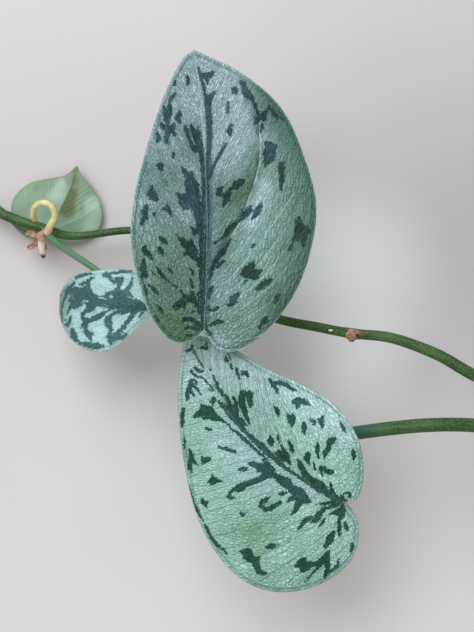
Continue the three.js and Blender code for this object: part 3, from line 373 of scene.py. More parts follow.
SMALL_MARKS: tuple[Stroke, ...] = (
    ((0.4, 4, 1.0), (0.6, 6, 1.7), (1.2, 8.5, 2.1), (1.9, 11, 2.8), (2.1, 13.5, 3.0), (1.8, 16, 2.3),
     (0.8, 18, 1.5), (0.4, 20, 1.4), (0.6, 22, 1.6), (1.4, 24, 2.0), (1.8, 26, 2.2), (1.9, 28, 1.9),
     (1.7, 30, 1.8), (2.1, 32, 1.4), (2, 34, 1.3), (1.4, 36, 1.0)),
    ((-0.8, 6.6, 0.5), (-2.5, 7.6, 0.6), (-4.5, 8.7, 0.7), (-6.5, 9.9, 0.7), (-8.5, 11, 0.7),
     (-10.2, 12.3, 1.1),
     (-11.6, 13.4, 1.0), (-13.2, 14, 0.4)),
    ((-3, 5.2, 0.3), (-1.6, 4.8, 0.4)),
    ((-9.6, 9, 0.5), (-10.6, 10.4, 0.7), (-10.6, 12, 1.1)),
    ((-12.4, 14.4, 0.5), (-11, 14.6, 0.9), (-9.6, 14.5, 0.5), (-8.4, 14.3, 0.5), (-6.8, 15.4, 1.2),
     (-5.2, 16, 1.1), (-4, 15.2, 0.6), (-2.8, 13.9, 0.4), (-2, 12, 0.45), (-1, 9.6, 0.6)),
    ((-2.3, 11.2, 0.6), (-1.5, 8.8, 0.5), (-0.6, 6.8, 0.6)),
    ((-0.6, 14.6, 0.6), (-2.2, 16.6, 0.6), (-3.6, 17.8, 0.6), (-4.8, 19, 0.85), (-5.6, 20.6, 0.9),
     (-6.3, 22.2, 0.85), (-7, 23.8, 0.85), (-6.4, 25.3, 0.8), (-5, 25.8, 0.7), (-3.9, 24.8, 0.6),
     (-3.4, 23.3, 0.65), (-2.5, 22.2, 0.8), (-0.8, 21.8, 1.2)),
    ((-7, 23.6, 0.8), (-8.8, 23.7, 0.8), (-10.2, 23.6, 0.8), (-11.3, 22.6, 0.8), (-12.2, 21.4, 0.6),
     (-13.1, 20.9, 0.25)),
    ((-11.4, 22.4, 0.8), (-11, 21.2, 0.8), (-10.5, 20.2, 0.25)),
    ((-9.2, 25.2, 0.3), (-8, 24.6, 0.6)),
    ((-2.6, 23.6, 1.0), (-1.4, 24, 1.1), (0, 23.4, 1.4)),
    ((-0.6, 26, 0.5), (-1.2, 27.2, 0.9), (-1.8, 28.6, 1.1), (-2.3, 30, 1.3), (-2.2, 31.3, 1.2),
     (-3.4, 32.3, 0.7),
     (-4.8, 32.8, 0.5), (-6.1, 33.3, 0.35)),
    ((-1.4, 31.6, 0.9), (-1, 32.8, 0.6), (-1.5, 34, 0.2)),
    ((-0.4, 29.2, 1.0), (0.8, 30.8, 1.2), (0.4, 32.2, 0.6)),
    ((-10, 31.6, 0.4), (-9, 31.8, 0.85), (-7.6, 31.3, 0.6), (-6.3, 30.9, 0.3)),
    ((-9.7, 33.8, 0.3), (-9.4, 32.2, 0.6)),
    ((-7.9, 34.3, 0.2), (-8.2, 33, 0.3)),
    ((-10.5, 30, 0.3), (-11.2, 29.1, 1.1), (-12.5, 28.3, 1.5), (-13.8, 27.5, 0.8), (-14.5, 25.4, 0.35)),
    ((-14.7, 25, 0.4), (-14.9, 23, 0.8), (-15.1, 21, 0.9), (-14.9, 19.2, 1.0), (-14.5, 17.8, 0.8),
     (-14.3, 16.4, 0.3)),
    ((-8.7, 35.8, 0.3), (-6, 36.8, 0.5), (-4, 37.2, 0.6), (-2, 37, 0.6), (0, 36.2, 0.8), (1.5, 35.2, 0.9),
     (3, 34, 0.8), (4, 32.6, 0.6), (5.1, 31.4, 0.4)),
    ((6.9, 31.2, 0.35), (7.4, 30, 0.7), (8, 28.6, 0.5), (8.6, 26.5, 0.3), (9.1, 24, 0.2)),
    ((4.8, 29.2, 0.25), (5.2, 27.6, 0.4), (5.7, 26.2, 0.55), (6.5, 25.1, 0.6), (7.4, 24.1, 0.5),
     (7.9, 23, 0.2)),
    ((5.6, 26, 0.5), (4.9, 24.9, 0.8), (3.6, 24.3, 1.0), (2.8, 23.4, 0.8)),
    ((2.6, 32, 0.8), (3.5, 30.5, 0.5)),
    ((2.8, 27, 1.0), (4.3, 26, 0.55)),
    ((8.9, 19.7, 0.2), (9.2, 18.4, 0.5), (9, 17.1, 0.75), (8, 16.2, 0.6), (7.2, 15.4, 0.5), (8.2, 14.2, 0.85),
     (8.7, 12.8, 0.65), (7.6, 13.1, 0.6), (6.2, 13.5, 0.5), (4.8, 13.8, 0.8)),
    ((9.6, 19.2, 0.3), (10.1, 17.2, 0.4), (10.8, 14.6, 0.4), (11.4, 12.5, 0.4), (12, 10, 0.35)),
    ((4.4, 12, 0.6), (5.6, 10.6, 0.5), (6.8, 9.7, 0.5), (8, 9.6, 0.4), (9.5, 9.2, 0.3)),
    ((3, 8.4, 0.6), (4, 9.4, 0.7), (4.6, 10.6, 0.7)),
)
SMALL_GAPS: tuple[Stroke, ...] = (
    ((1.6, 20.6, 0.3), (1.6, 19, 0.5), (1.3, 17.6, 0.35)),
    ((2.4, 16, 0.5), (2.4, 15.2, 0.3)),
    ((-1.2, 27.4, 0.2), (-0.8, 26, 0.5), (-0.3, 24.4, 0.3)),
    ((-3.5, 20, 0.3), (-2.5, 18.2, 0.7), (-1.6, 16.6, 0.5)),
    ((-5.6, 24.4, 0.6), (-5, 22.9, 1.0), (-4.4, 21.8, 0.4)),
    ((-4.9, 17.2, 0.2), (-4, 16.6, 0.25)),
    ((3.2, 9.6, 0.4), (2.8, 8, 0.25)),
    ((0.9, 33.4, 0.3), (0.3, 31.4, 0.3)),
)

# A slate-grey band along the midribs, partly a painted sheen, drawn as strokes of (x, y, radius).
LARGE_BAND_AND_SHEEN: tuple[Stroke, ...] = (
    ((0.8, 1, 0.8), (1.4, 14, 1.2), (2, 28, 1.4), (2.8, 42, 1.3), (3.4, 54, 1.0), (3.7, 64, 0.5)),
    ((3.4, 20, 0.5), (6, 26, 0.9), (9, 31.5, 0.6), (12.5, 35.5, 0.2)),
)
LOWER_BAND_AND_SHEEN: tuple[Stroke, ...] = (
    ((-1.5, 2, 0.6), (-4, 8, 1.2), (-7, 15, 1.6), (-9.6, 22, 1.6), (-11, 30, 1.5), (-10.8, 38, 1.2),
     (-9.8, 45, 0.9), (-8.7, 52, 0.4)),
    ((-9, 18, 0.8), (-13, 24, 1.0), (-17, 27, 0.4)),
)

# Painted light and shade of the faces, as soft spots:
# (x, y, radius, strength, side of the midrib or 0 for both).
# Above zero a spot paints the bluish sheen of a face that tilts to the window; below zero it paints the shade
# of a face that tilts away, such as a drooping lobe or one side of the crease or the keel.
LARGE_PAINTED_SHADING: tuple[Point, ...] = (
    (-4, 83, 15, 1.4, 0), (6, 70, 11, 1.1, 1), (7, 57, 8, 0.9, 1), (-14, 60, 10, 0.5, 0),
    (-17, 42, 6, 0.25, 0),
    (-12, -2, 9, -1.2, 0), (-10, 13, 9, -0.5, 0), (-11, 24, 6, -0.3, 0), (4, -4.5, 4.5, 0.6, 0),
    (8, 14, 6, 0.3, 1),
    (12, 41, 3.6, -0.6, 1), (15, 45, 3.2, -0.7, 1), (16.6, 50, 3, -0.6, 1), (17.6, 56, 3, -0.4, 1),
    (27, 24, 6, -0.25, 1), (14, -2, 7, -0.3, 0), (18.6, 39.5, 3, 0.7, 1), (21, 45, 3, 0.6, 1),
    (15.5, 34, 3, 0.5, 1),
    (22, 58, 5, 0.4, 1), (26, 8, 7, -0.5, 1), (24, 76, 6, -0.3, 1),
    (-4.5, 37, 5.5, 0.6, -1), (-2, 49, 5, 0.5, -1), (0.5, 25, 3, 0.3, 0),
)
LOWER_PAINTED_SHADING: tuple[Point, ...] = (
    (-5, 64, 9, 0.7, 0), (4, 60, 8, 0.6, 0), (9, 47, 8, 0.7, 0), (17, 24, 7, 0.9, 0), (15, 34, 7, 0.7, 0),
    (-13, 38, 9, 0.45, 0), (-21, 11, 10, -0.4, 0), (-31, 17, 9, -0.5, 0), (-26, 46, 7, -0.5, 0),
    (-15, 25, 6, 0.5, 0),
    (-9, 13, 4.5, 0.6, 0), (-10, 4, 4, 0.35, 0), (-12, -11, 6, 0.3, 0), (-36, 0, 8, -0.4, 0),
    (12, 6, 6, -0.35, 0), (18, 15, 5, 0.7, 0),
    (-2, 1, 3, -0.7, 0), (-24, -8, 7, -0.4, 0), (1, 30, 8, 0.1, 0),
)
SMALL_PAINTED_SHADING: tuple[Point, ...] = (
    (6, 20, 4, 0.5, 0), (-9, 17, 5, 0.3, 0), (-2, 39, 6, -1.2, 0), (-14.5, 24, 3, -0.3, 0),
    (5, 8.5, 4, 0.4, 0),
)
TURNED_PAINTED_SHADING: tuple[Point, ...] = (
    (2.6, 15.5, 4, 1.1, 1), (2, 20, 3, 0.6, 1), (-11, 18, 4.5, 0.8, 0), (-13.5, 10, 4, 0.5, 0),
    (-3.4, 12.6, 3.4, -1.7, -1), (-2.6, 18, 2.8, -1.3, -1), (-1.4, 23, 2.4, -0.9, 0), (0, 27, 2, -0.9, 0),
    (6.5, 17.6, 3.6, -0.7, 0), (10, 14, 2.6, -0.4, 0), (-8, 5, 4, -0.3, 0), (-7, 22.6, 3, -0.3, 0),
)

# Sharp folds that the faces show. The large blade's finish also paints shade beside its crease and a pale
# line along it.
LARGE_CREASE: Stroke = (
    (3, 19), (6, 24), (9.5, 29), (13, 35), (15.5, 41), (18, 47.5), (19.5, 53), (20, 60), (19.8, 66), (18, 72),
    (15, 79),
)
TURNED_KEEL: Stroke = ((0, 27.5), (-0.6, 23), (-0.7, 18), (-0.6, 13), (-0.3, 8))


def srgb(code: str) -> tuple[float, float, float, float]:
    """Turn a screen colour into the linear colour that shaders use.

    Args:
        code: Six hex digits after a hash sign.

    Returns:
        Linear red, green, blue and an alpha of one.
    """
    parts = [int(code[i:i + 2], 16) / 255 for i in (1, 3, 5)]
    linear = [c / 12.92 if c <= 0.04045 else ((c + 0.055) / 1.055) ** 2.4 for c in parts]
    return (linear[0], linear[1], linear[2], 1.0)


def jitter(i: int, k: int) -> float:
    """Give a fixed pseudo-random number from -1 to 1 for leaf i and trait k."""
    x = math.sin(i * 12.9898 + k * 78.233) * 43758.5453
    return 2 * (x - math.floor(x)) - 1


def smooth_curve(points: tuple[Point, ...] | np.ndarray, shares: np.ndarray) -> np.ndarray:
    """Find points on the even spline through the given points.

    Args:
        points: The points that the spline passes through.
        shares: Places along it from 0 to 1.

    Returns:
        One row of coordinates for each share.
    """
    p = np.asarray(points, float)
    around = np.vstack([2 * p[0] - p[1], p, 2 * p[-1] - p[-2]])
    place = np.clip(shares, 0, 1) * (len(p) - 1)
    i = np.minimum(place.astype(int), len(p) - 2)
    t = (place - i)[:, None]
    p0, p1, p2, p3 = around[i], around[i + 1], around[i + 2], around[i + 3]
    leave, arrive = (p2 - p0) / 2, (p3 - p1) / 2
    cube = 2 * p1 - 2 * p2 + leave + arrive
    square = -3 * p1 + 3 * p2 - 2 * leave - arrive
    return cube * t ** 3 + square * t ** 2 + leave * t + p1


def spread(values: tuple[float, ...], shares: np.ndarray) -> np.ndarray:
    """Read a list of values, spread evenly over a curve, at the given shares of it."""
    return np.interp(shares, np.linspace(0, 1, len(values)), values)


def stroke_distance(places: np.ndarray, strokes: tuple[Stroke, ...], limit: float = MARK_REACH) -> np.ndarray:
    """Measure how far each place is from the edge of the nearest stroke.

    Args:
        places: Flat coordinates, one row each.
        strokes: Chains of (x, y, radius).
        limit: The distance given where no stroke is nearer.

    Returns:
        Distances, below zero inside a stroke.
    """
    nearest = np.full(len(places), limit)
    for stroke in strokes:
        chain = np.array(stroke, float)
        for a, b in zip(chain[:-1], chain[1:]):
            run = b[:2] - a[:2]
            t = np.clip((places - a[:2]) @ run / max(run @ run, 1e-9), 0, 1)
            gap = np.linalg.norm(places - a[:2] - t[:, None] * run, axis=1) - (a[2] + t * (b[2] - a[2]))
            np.minimum(nearest, gap, out=nearest)
    return nearest


def side_distance(places: np.ndarray, line: Stroke) -> np.ndarray:
    """Measure how far each place is from a line, below zero on its left as the line runs.

    Args:
        places: Flat coordinates, one row each.
        line: The points of the line.

    Returns:
        Signed distances.
    """
    nearest = np.full(len(places), FAR_AWAY)
    for a, b in zip(line[:-1], line[1:]):
        start, run = np.array(a), np.array(b) - a
        t = np.clip((places - start) @ run / (run @ run), 0, 1)
        away = places - start - t[:, None] * run
        gap = np.linalg.norm(away, axis=1)
        turn = np.sign(away[:, 0] * run[1] - away[:, 1] * run[0])
        nearest = np.where(gap < np.abs(nearest), gap * np.where(turn == 0, 1, turn), nearest)
    return nearest


def face_normals(points: np.ndarray, triangles: np.ndarray) -> np.ndarray:
    """Average the normals of the triangles round each point.

    Args:
        points: The points, one row each.
        triangles: Rows of three indices.

    Returns:
        A direction of length one for each point.
    """
    a, b, c = (points[triangles[:, k]] for k in range(3))
    flat = np.cross(b - a, c - a)
    total = np.zeros_like(points)
    for k in range(3):
        np.add.at(total, triangles[:, k], flat)
    return total / np.maximum(np.linalg.norm(total, axis=1, keepdims=True), 1e-12)


def put_in_scene(name: str, data: bpy.types.ID) -> Piece:
    """Make an object and put it in the scene.

    Args:
        name: The object's name.
        data: Its mesh, lamp or camera.

    Returns:
        The new object.
    """
    made = bpy.data.objects.new(name, data)
    bpy.context.scene.collection.objects.link(made)
    return made


@dataclass
class Body:
    """The points, faces and point values of one piece, in millimetres, as it is put together."""

    points: list[np.ndarray] = field(default_factory=list)
    faces: list[Face] = field(default_factory=list)
    finish_of_face: list[int] = field(default_factory=list)
    values: dict[str, list[np.ndarray]] = field(default_factory=dict)
    count: int = 0

    def add(self, points: np.ndarray, faces: list[Face], finish: int = 0,
            **values: np.ndarray) -> None:
        """Add a closed shell.

        Args:
            points: Its points.
            faces: Its faces, as indices into those points.
            finish: Which of the piece's finishes its faces take.
            values: Point values by name; every shell of a piece gives the same names.
        """
        self.points.append(points)
        self.faces.extend(tuple(i + self.count for i in f) for f in faces)
        self.finish_of_face.extend([finish] * len(faces))
        for name, value in values.items():
            self.values.setdefault(name, []).append(value)
        self.count += len(points)

    def build(self, name: str, finishes: list[Material], slot: str, *nodes: str) -> Piece:
        """Make the piece, which rides on the plant's one body.

        Args:
            name: The piece's name.
            finishes: Its materials.
            slot: The record's material slot, which is not used.
            nodes: The CAD nodes that it stands for.

        Returns:
            The new object.
        """
        mesh = bpy.data.meshes.new(name)
        mesh.from_pydata((np.vstack(self.points) * MM).tolist(), [], self.faces)
        for key, parts in self.values.items():
            data = np.concatenate(parts).astype(np.float32)
            kind, target = ("FLOAT", "value") if data.ndim == 1 else ("FLOAT_VECTOR", "vector")
            mesh.attributes.new(key, kind, "POINT").data.foreach_set(target, data.ravel())
        mesh.polygons.foreach_set("use_smooth", np.ones(len(self.faces), bool))
        for finish in finishes:
            mesh.materials.append(finish)
        mesh.polygons.foreach_set("material_index", np.array(self.finish_of_face, np.int32))
        mesh.update()
        piece = put_in_scene(name, mesh)
        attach(piece, BODY)
        if nodes:
            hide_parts(*nodes)
        return piece


def ring_faces(rings: int, sides: int) -> list[Face]:
    """List the faces that join rings of points, one ring after another.

    Args:
        rings: How many rings there are.
        sides: How many points each ring has.

    Returns:
        The faces, as indices into the points.
    """
    return [
        (i * sides + k, i * sides + (k + 1) % sides, (i + 1) * sides + (k + 1) % sides, (i + 1) * sides + k)
        for i in range(rings - 1) for k in range(sides)
    ]


def tube(body: Body, path: np.ndarray, radii: np.ndarray, sides: int, finish: int = 0,
         node: np.ndarray | None = None, wobble: float = 0.0) -> None:
    """Add a round closed tube along a path, with rounded ends.

    Args:
        body: The piece that it becomes part of.
        path: Its centre line.
        radii: Its radius at each point of the path.
        sides: How many sides it has.
        finish: Which of the piece's finishes it takes.
        node: How near each point of the path is to a node, from 0 to 1.
        wobble: How uneven its girth is, as a share of the radius.
    """
    tangents = np.gradient(path, axis=0)
    tangents /= np.linalg.norm(tangents, axis=1, keepdims=True)
    near = np.zeros(len(path)) if node is None else node
    run = np.concatenate([[0], np.cumsum(np.linalg.norm(np.diff(path, axis=0), axis=1))])
    turns = np.linspace(0, 2 * math.pi, sides, endpoint=False)
    normal = np.cross(tangents[0], (0.3, 0.9, 0.3))
    rings, grow, nodes = [], [], []
    for i, (centre, tangent) in enumerate(zip(path, tangents)):
        normal = normal - (normal @ tangent) * tangent
        normal /= np.linalg.norm(normal)
        side = np.cross(tangent, normal)
        bumps = 1 + wobble * (np.sin(3 * turns + run[i] * 0.9) * 0.6 + np.sin(2 * turns - run[i] * 1.7) * 0.4)
        across = radii[i] * bumps
        x, y = across * np.cos(turns), across * np.sin(turns)
        rings.append(centre + np.outer(x, normal) + np.outer(y, side))
        grow.append(np.column_stack([x, y, np.full(sides, run[i])]))
        nodes.append(np.full(sides, near[i]))
    count = len(path)
    faces = ring_faces(count, sides)
    first, last = count * sides, count * sides + 1
    faces += [(first, (k + 1) % sides, k) for k in range(sides)]
    top = (count - 1) * sides
    faces += [(last, top + k, top + (k + 1) % sides) for k in range(sides)]
    ends = np.array([path[0] - tangents[0] * radii[0] * 0.35, path[-1] + tangents[-1] * radii[-1] * 0.35])
    body.add(
        np.vstack([*rings, ends]), faces, finish,
        grow=np.vstack([*grow, [[0, 0, 0], [0, 0, run[-1]]]]),
        node=np.concatenate([*nodes, [near[0], near[-1]]]),
        run=np.concatenate([np.repeat(run / run[-1], sides), [0, 1]]),
    )


class Graph:
    """Adds shader nodes to one tree and links them."""

    def __init__(self, tree: bpy.types.NodeTree) -> None:
        """Keep the tree that nodes are added to."""
        self.tree = tree

    def feed(self, node: bpy.types.Node, sockets: dict[str | int, object]) -> bpy.types.Node:
        """Give a node's inputs what they take.

        Args:
            node: The node.
            sockets: What each input gets: another node's output, or a plain value.

        Returns:
            The same node.
        """
        for key, value in sockets.items():
            if isinstance(value, Socket):
                self.tree.links.new(value, node.inputs[key])
            else:
                node.inputs[key].default_value = value
        return node

    def node(self, kind: str, sockets: dict[str | int, object], **settings: object) -> bpy.types.Node:
        """Add a node.

        Args:
            kind: Blender's name for the kind of node.
            sockets: What each input gets.
            settings: The node's own settings.

        Returns:
            The new node.
        """
        made = self.tree.nodes.new(kind)
        for key, value in settings.items():
            setattr(made, key, value)
        return self.feed(made, sockets)

    def use(self, effect: "Effect", sockets: dict[str | int, object]) -> bpy.types.bpy_prop_collection:
        """Place a shared node group and give its outputs."""
        return self.node("ShaderNodeGroup", sockets, node_tree=effect.tree()).outputs

    def value(self, name: str) -> Socket:
        """Read a point value of the mesh."""
        return self.node("ShaderNodeAttribute", {}, attribute_name=name).outputs["Fac"]

    def place(self, name: str) -> Socket:
        """Read a point vector of the mesh."""
        return self.node("ShaderNodeAttribute", {}, attribute_name=name).outputs["Vector"]

    def object_place(self) -> Socket:
        """Read the place on the object, in metres."""
        return self.node("ShaderNodeTexCoord", {}).outputs["Object"]

    def math(self, operation: str, a: object, b: object = 0.0) -> Socket:
        """Work out one sum with two values."""
        return self.node("ShaderNodeMath", {0: a, 1: b}, operation=operation).outputs[0]

    def total(self, *values: object) -> Socket:
        """Add values up."""
        return reduce(lambda a, b: self.math("ADD", a, b), values)

    def times(self, *values: object) -> Socket:
        """Multiply values together."""
        return reduce(lambda a, b: self.math("MULTIPLY", a, b), values)

    def scaled(self, value: object, share: float, centre: float = 0.0) -> Socket:
        """Scale a value about a centre, which becomes zero."""
        sockets = {0: value, 1: share, 2: -centre * share}
        return self.node("ShaderNodeMath", sockets, operation="MULTIPLY_ADD").outputs[0]

    def step(self, value: object, low: object, high: object, start: float = 0.0,
             end: float = 1.0) -> Socket:
        """Turn a value smoothly from start at low to end at high."""
        sockets = {"Value": value, "From Min": low, "From Max": high, "To Min": start, "To Max": end}
        return self.node("ShaderNodeMapRange", sockets, interpolation_type="SMOOTHSTEP").outputs[0]

    def near(self, value: object, low: float, high: float, end: float = 1.0) -> Socket:
        """Turn a value's size, whatever its sign, smoothly from 0 at low to end at high."""
        return self.step(self.math("ABSOLUTE", value), low, high, 0.0, end)

    def layers(self, base: object, *layers: tuple[object, object]) -> Socket:
        """Lay colours over one another.

        Args:
            base: The lowest colour: a node's output or a screen colour.
            layers: The share and the colour of each layer, from the lowest up.

        Returns:
            The mixed colour.
        """
        for share, colour in layers:
            a, b = (srgb(c) if isinstance(c, str) else c for c in (base, colour))
            base = self.node("ShaderNodeMix", {0: share, 6: a, 7: b}, data_type="RGBA").outputs[2]
        return base

    def stretch(self, vector: object, scale: Point) -> Socket:
        """Scale a vector by one number for each axis."""
        return self.node("ShaderNodeVectorMath", {0: vector, 1: scale}, operation="MULTIPLY").outputs[0]

    def vector(self, x: object, y: object) -> Socket:
        """Put a flat vector together."""
        return self.node("ShaderNodeCombineXYZ", {0: x, 1: y}).outputs[0]

    def noise(self, vector: object, scale: object, detail: float = 3.0,
              rough: float = 0.55) -> Socket:
        """Add soft noise."""
        sockets = {"Vector": vector, "Scale": scale, "Detail": detail, "Roughness": rough}
        return self.node("ShaderNodeTexNoise", sockets).outputs[0]

    def cells(self, vector: object, scale: object, feature: str = "F1",
              output: str = "Distance") -> Socket:
        """Add cell noise."""
        sockets = {"Vector": vector, "Scale": scale}
        return self.node("ShaderNodeTexVoronoi", sockets, feature=feature).outputs[output]

    def warp(self, vector: object, scale: float, reach: float) -> Socket:
        """Push a vector about by soft noise.

        Args:
            vector: The vector.
            scale: The scale of the noise.
            reach: How far it is pushed at most.

        Returns:
            The pushed vector.
        """
        sockets = {"Vector": vector, "Scale": scale, "Detail": 2.0}
        push = self.node("ShaderNodeTexNoise", sockets).outputs["Color"]
        sockets = {0: push, 1: (0.5, 0.5, 0.5)}
        middle = self.node("ShaderNodeVectorMath", sockets, operation="SUBTRACT").outputs[0]
        sockets = {0: middle, 1: (2 * reach, 2 * reach, 0.0), 2: vector}
        return self.node("ShaderNodeVectorMath", sockets, operation="MULTIPLY_ADD").outputs[0]

    def bump(self, height: object, depth: float = 1.0) -> Socket:
        """Turn a height in millimetres into a normal."""
        sockets = {"Height": height, "Strength": 1.0, "Distance": depth * MM}
        return self.node("ShaderNodeBump", sockets).outputs[0]


@dataclass(frozen=True)
class Effect:
    """A node group that several finishes share. An input without a first value is a vector."""

    name: str
    inputs: dict[str, float | None]
    make: Callable[..., dict[str, Socket]]

    def tree(self) -> bpy.types.NodeTree:
        """Find the group, or build it when it is first used.

        Returns:
            The group.
        """
        if self.name in bpy.data.node_groups:
            return bpy.data.node_groups[self.name]
        tree = bpy.data.node_groups.new(self.name, "ShaderNodeTree")
        for key, first in self.inputs.items():
            kind = "NodeSocketVector" if first is None else "NodeSocketFloat"
            socket = tree.interface.new_socket(key, in_out="INPUT", socket_type=kind)
            if first is not None:
                socket.default_value = first
        graph, given = Graph(tree), tree.nodes.new("NodeGroupInput").outputs
        outputs = self.make(graph, *(given[key] for key in self.inputs))
        for key in outputs:
            tree.interface.new_socket(key, in_out="OUTPUT", socket_type="NodeSocketFloat")
        graph.feed(tree.nodes.new("NodeGroupOutput"), outputs)
        return tree


def variegation(g: Graph, mark: Socket, place: Socket, phase: Socket, rib: Socket, ragged: Socket,
                grow: Socket) -> dict[str, Socket]:
    """Turn the distance to the drawn marks into ragged dark blotches, frayed along the side veins.

    Args:
        g: The group's graph.
        mark: The distance to the marks, in millimetres.
        place: The place on the blade.
        phase: The number of the side vein.
        rib: The distance to the midrib.
        ragged: How ragged the blotches are.
        grow: How much they grow.

    Returns:
        The blotches, and a halo round them.
    """
    bent = g.warp(place, 0.9, 0.3)
    cell = g.scaled(g.cells(bent, 2.1, "F1", "Color"), 1.2, 0.5)
    fringe = g.scaled(g.noise(g.vector(g.times(phase, 13.0), g.times(rib, 0.3)), 1.0, 2.0), 1.3, 0.5)
    soft = g.scaled(g.noise(bent, 0.6, 3.0), 1.0, 0.5)
    frayed = g.math("SUBTRACT", g.total(mark, g.times(g.total(cell, fringe, soft), ragged)), grow)
    return {"Dark": g.step(frayed, 0.08, -0.06), "Halo": g.step(frayed, 1.1, 0.0)}


def grain(g: Graph, place: Socket, phase: Socket, rib: Socket) -> dict[str, Socket]:
    """Emboss a blade finely: small pale cells, and a crinkled mesh of tiny veins.

    Args:
        g: The group's graph.
        place: The place on the blade.
        phase: The number of the side vein.
        rib: The distance to the midrib.

    Returns:
        The flecks, the crinkle mask and the height.
    """
    bent = g.warp(place, 0.8, 0.35)
    small = g.cells(bent, 1.7)
    along = g.vector(g.times(phase, 6.8), g.times(rib, 0.78))
    wrinkle = g.cells(g.warp(along, 1.3, 0.4), 1.0, "DISTANCE_TO_EDGE")
    crackle = g.cells(g.warp(bent, 1.1, 0.3), 1.0, "DISTANCE_TO_EDGE")
    blister = g.noise(g.vector(g.times(phase, 3.0), g.times(rib, 0.3)), 1.0, 2.0)
    return {
        "Fleck": g.step(small, 0.3, 0.75),
        "Net": g.times(g.step(wrinkle, 0.0, 0.2), g.step(crackle, 0.0, 0.12, 0.45, 1.0)),
        "Height": g.total(
            g.scaled(small, -0.12), g.step(wrinkle, 0.0, 0.4), g.step(crackle, 0.0, 0.36, 0.0, 0.5),
            g.scaled(blister, 1.6, 0.5),
        ),
    }


def veins(g: Graph, phase: Socket, rib: Socket, often: Socket, width: Socket) -> dict[str, Socket]:
    """Draw side veins as thin broken lines, and finer streaks that run with them.

    Args:
        g: The group's graph.
        phase: The number of the side vein.
        rib: The distance to the midrib.
        often: How many lines there are to a vein.
        width: Their width as a share of their spacing.

    Returns:
        The lines, the streaks and the height.
    """
    wander = g.scaled(g.noise(g.vector(phase, g.times(rib, 0.35)), 0.9), 0.06, 0.5)
    bent = g.times(g.total(phase, wander), often)
    saw = g.math("ABSOLUTE", g.math("SUBTRACT", g.math("FRACT", bent), 0.5))
    line = g.step(saw, g.math("SUBTRACT", 0.5, width), 0.5)
    broken = g.step(g.noise(g.vector(g.math("FLOOR", bent), g.times(rib, 0.12)), 1.7, 2.0), 0.3, 0.55)
    streak = g.noise(g.vector(g.times(phase, 12.0), g.times(rib, 0.16)), 1.0, 3.0, 0.6)
    shown = g.times(line, broken)
    height = g.total(g.scaled(streak, 0.5), g.scaled(shown, 0.7))
    return {"Line": shown, "Streak": g.step(streak, 0.34, 0.66), "Height": height}


def speckle(g: Graph, place: Socket, size: Socket) -> dict[str, Socket]:
    """Strew small specks on a grown or worn surface.

    Args:
        g: The group's graph.
        place: The place on the surface.
        size: The size of the specks, in the units of the place.

    Returns:
        The specks, drifts of tone and the height.
    """
    scale = g.math("DIVIDE", 1.0, size)
    dots = g.cells(place, g.times(scale, 1.4))
    drift = g.noise(place, g.times(scale, 0.22), 4.0, 0.6)
    fine = g.noise(place, g.times(scale, 2.2), 3.0, 0.65)
    height = g.math("SUBTRACT", fine, g.times(dots, 0.4))
    return {"Speck": g.step(dots, 0.32, 0.12), "Drift": g.step(drift, 0.3, 0.7), "Height": height}


VARIEGATION = Effect(
    "leaf_variegation", {"Mark": 1.0, "Place": None, "Phase": 0.0, "Rib": 0.0, "Ragged": 0.5, "Grow": 0.2},
    variegation,
)
GRAIN = Effect("silver_grain", {"Place": None, "Phase": 0.0, "Rib": 0.0}, grain)
VEINS = Effect("leaf_veins", {"Phase": 0.0, "Rib": 0.0, "Often": 3.0, "Width": 0.05}, veins)
SPECKLE = Effect("fine_speckle", {"Place": None, "Size": 1.0}, speckle)


@dataclass(frozen=True)
class Finish:
    """A procedural material. Each kind of finish says what its shader's sockets get."""

    name: str

    def sockets(self, g: Graph) -> dict[str, object]:
        """Say what the shader's sockets get.

        Args:
            g: The material's graph.

        Returns:
            The sockets by name.
        """
        raise NotImplementedError(f"{self.name} has no sockets")

    def make(self) -> Material:
        """Build the material.

        Returns:
            The new material.
        """
        material = bpy.data.materials.new(self.name)
        material.use_nodes = True
        graph = Graph(material.node_tree)
        graph.feed(material.node_tree.nodes["Principled BSDF"], self.sockets(graph))
        return material


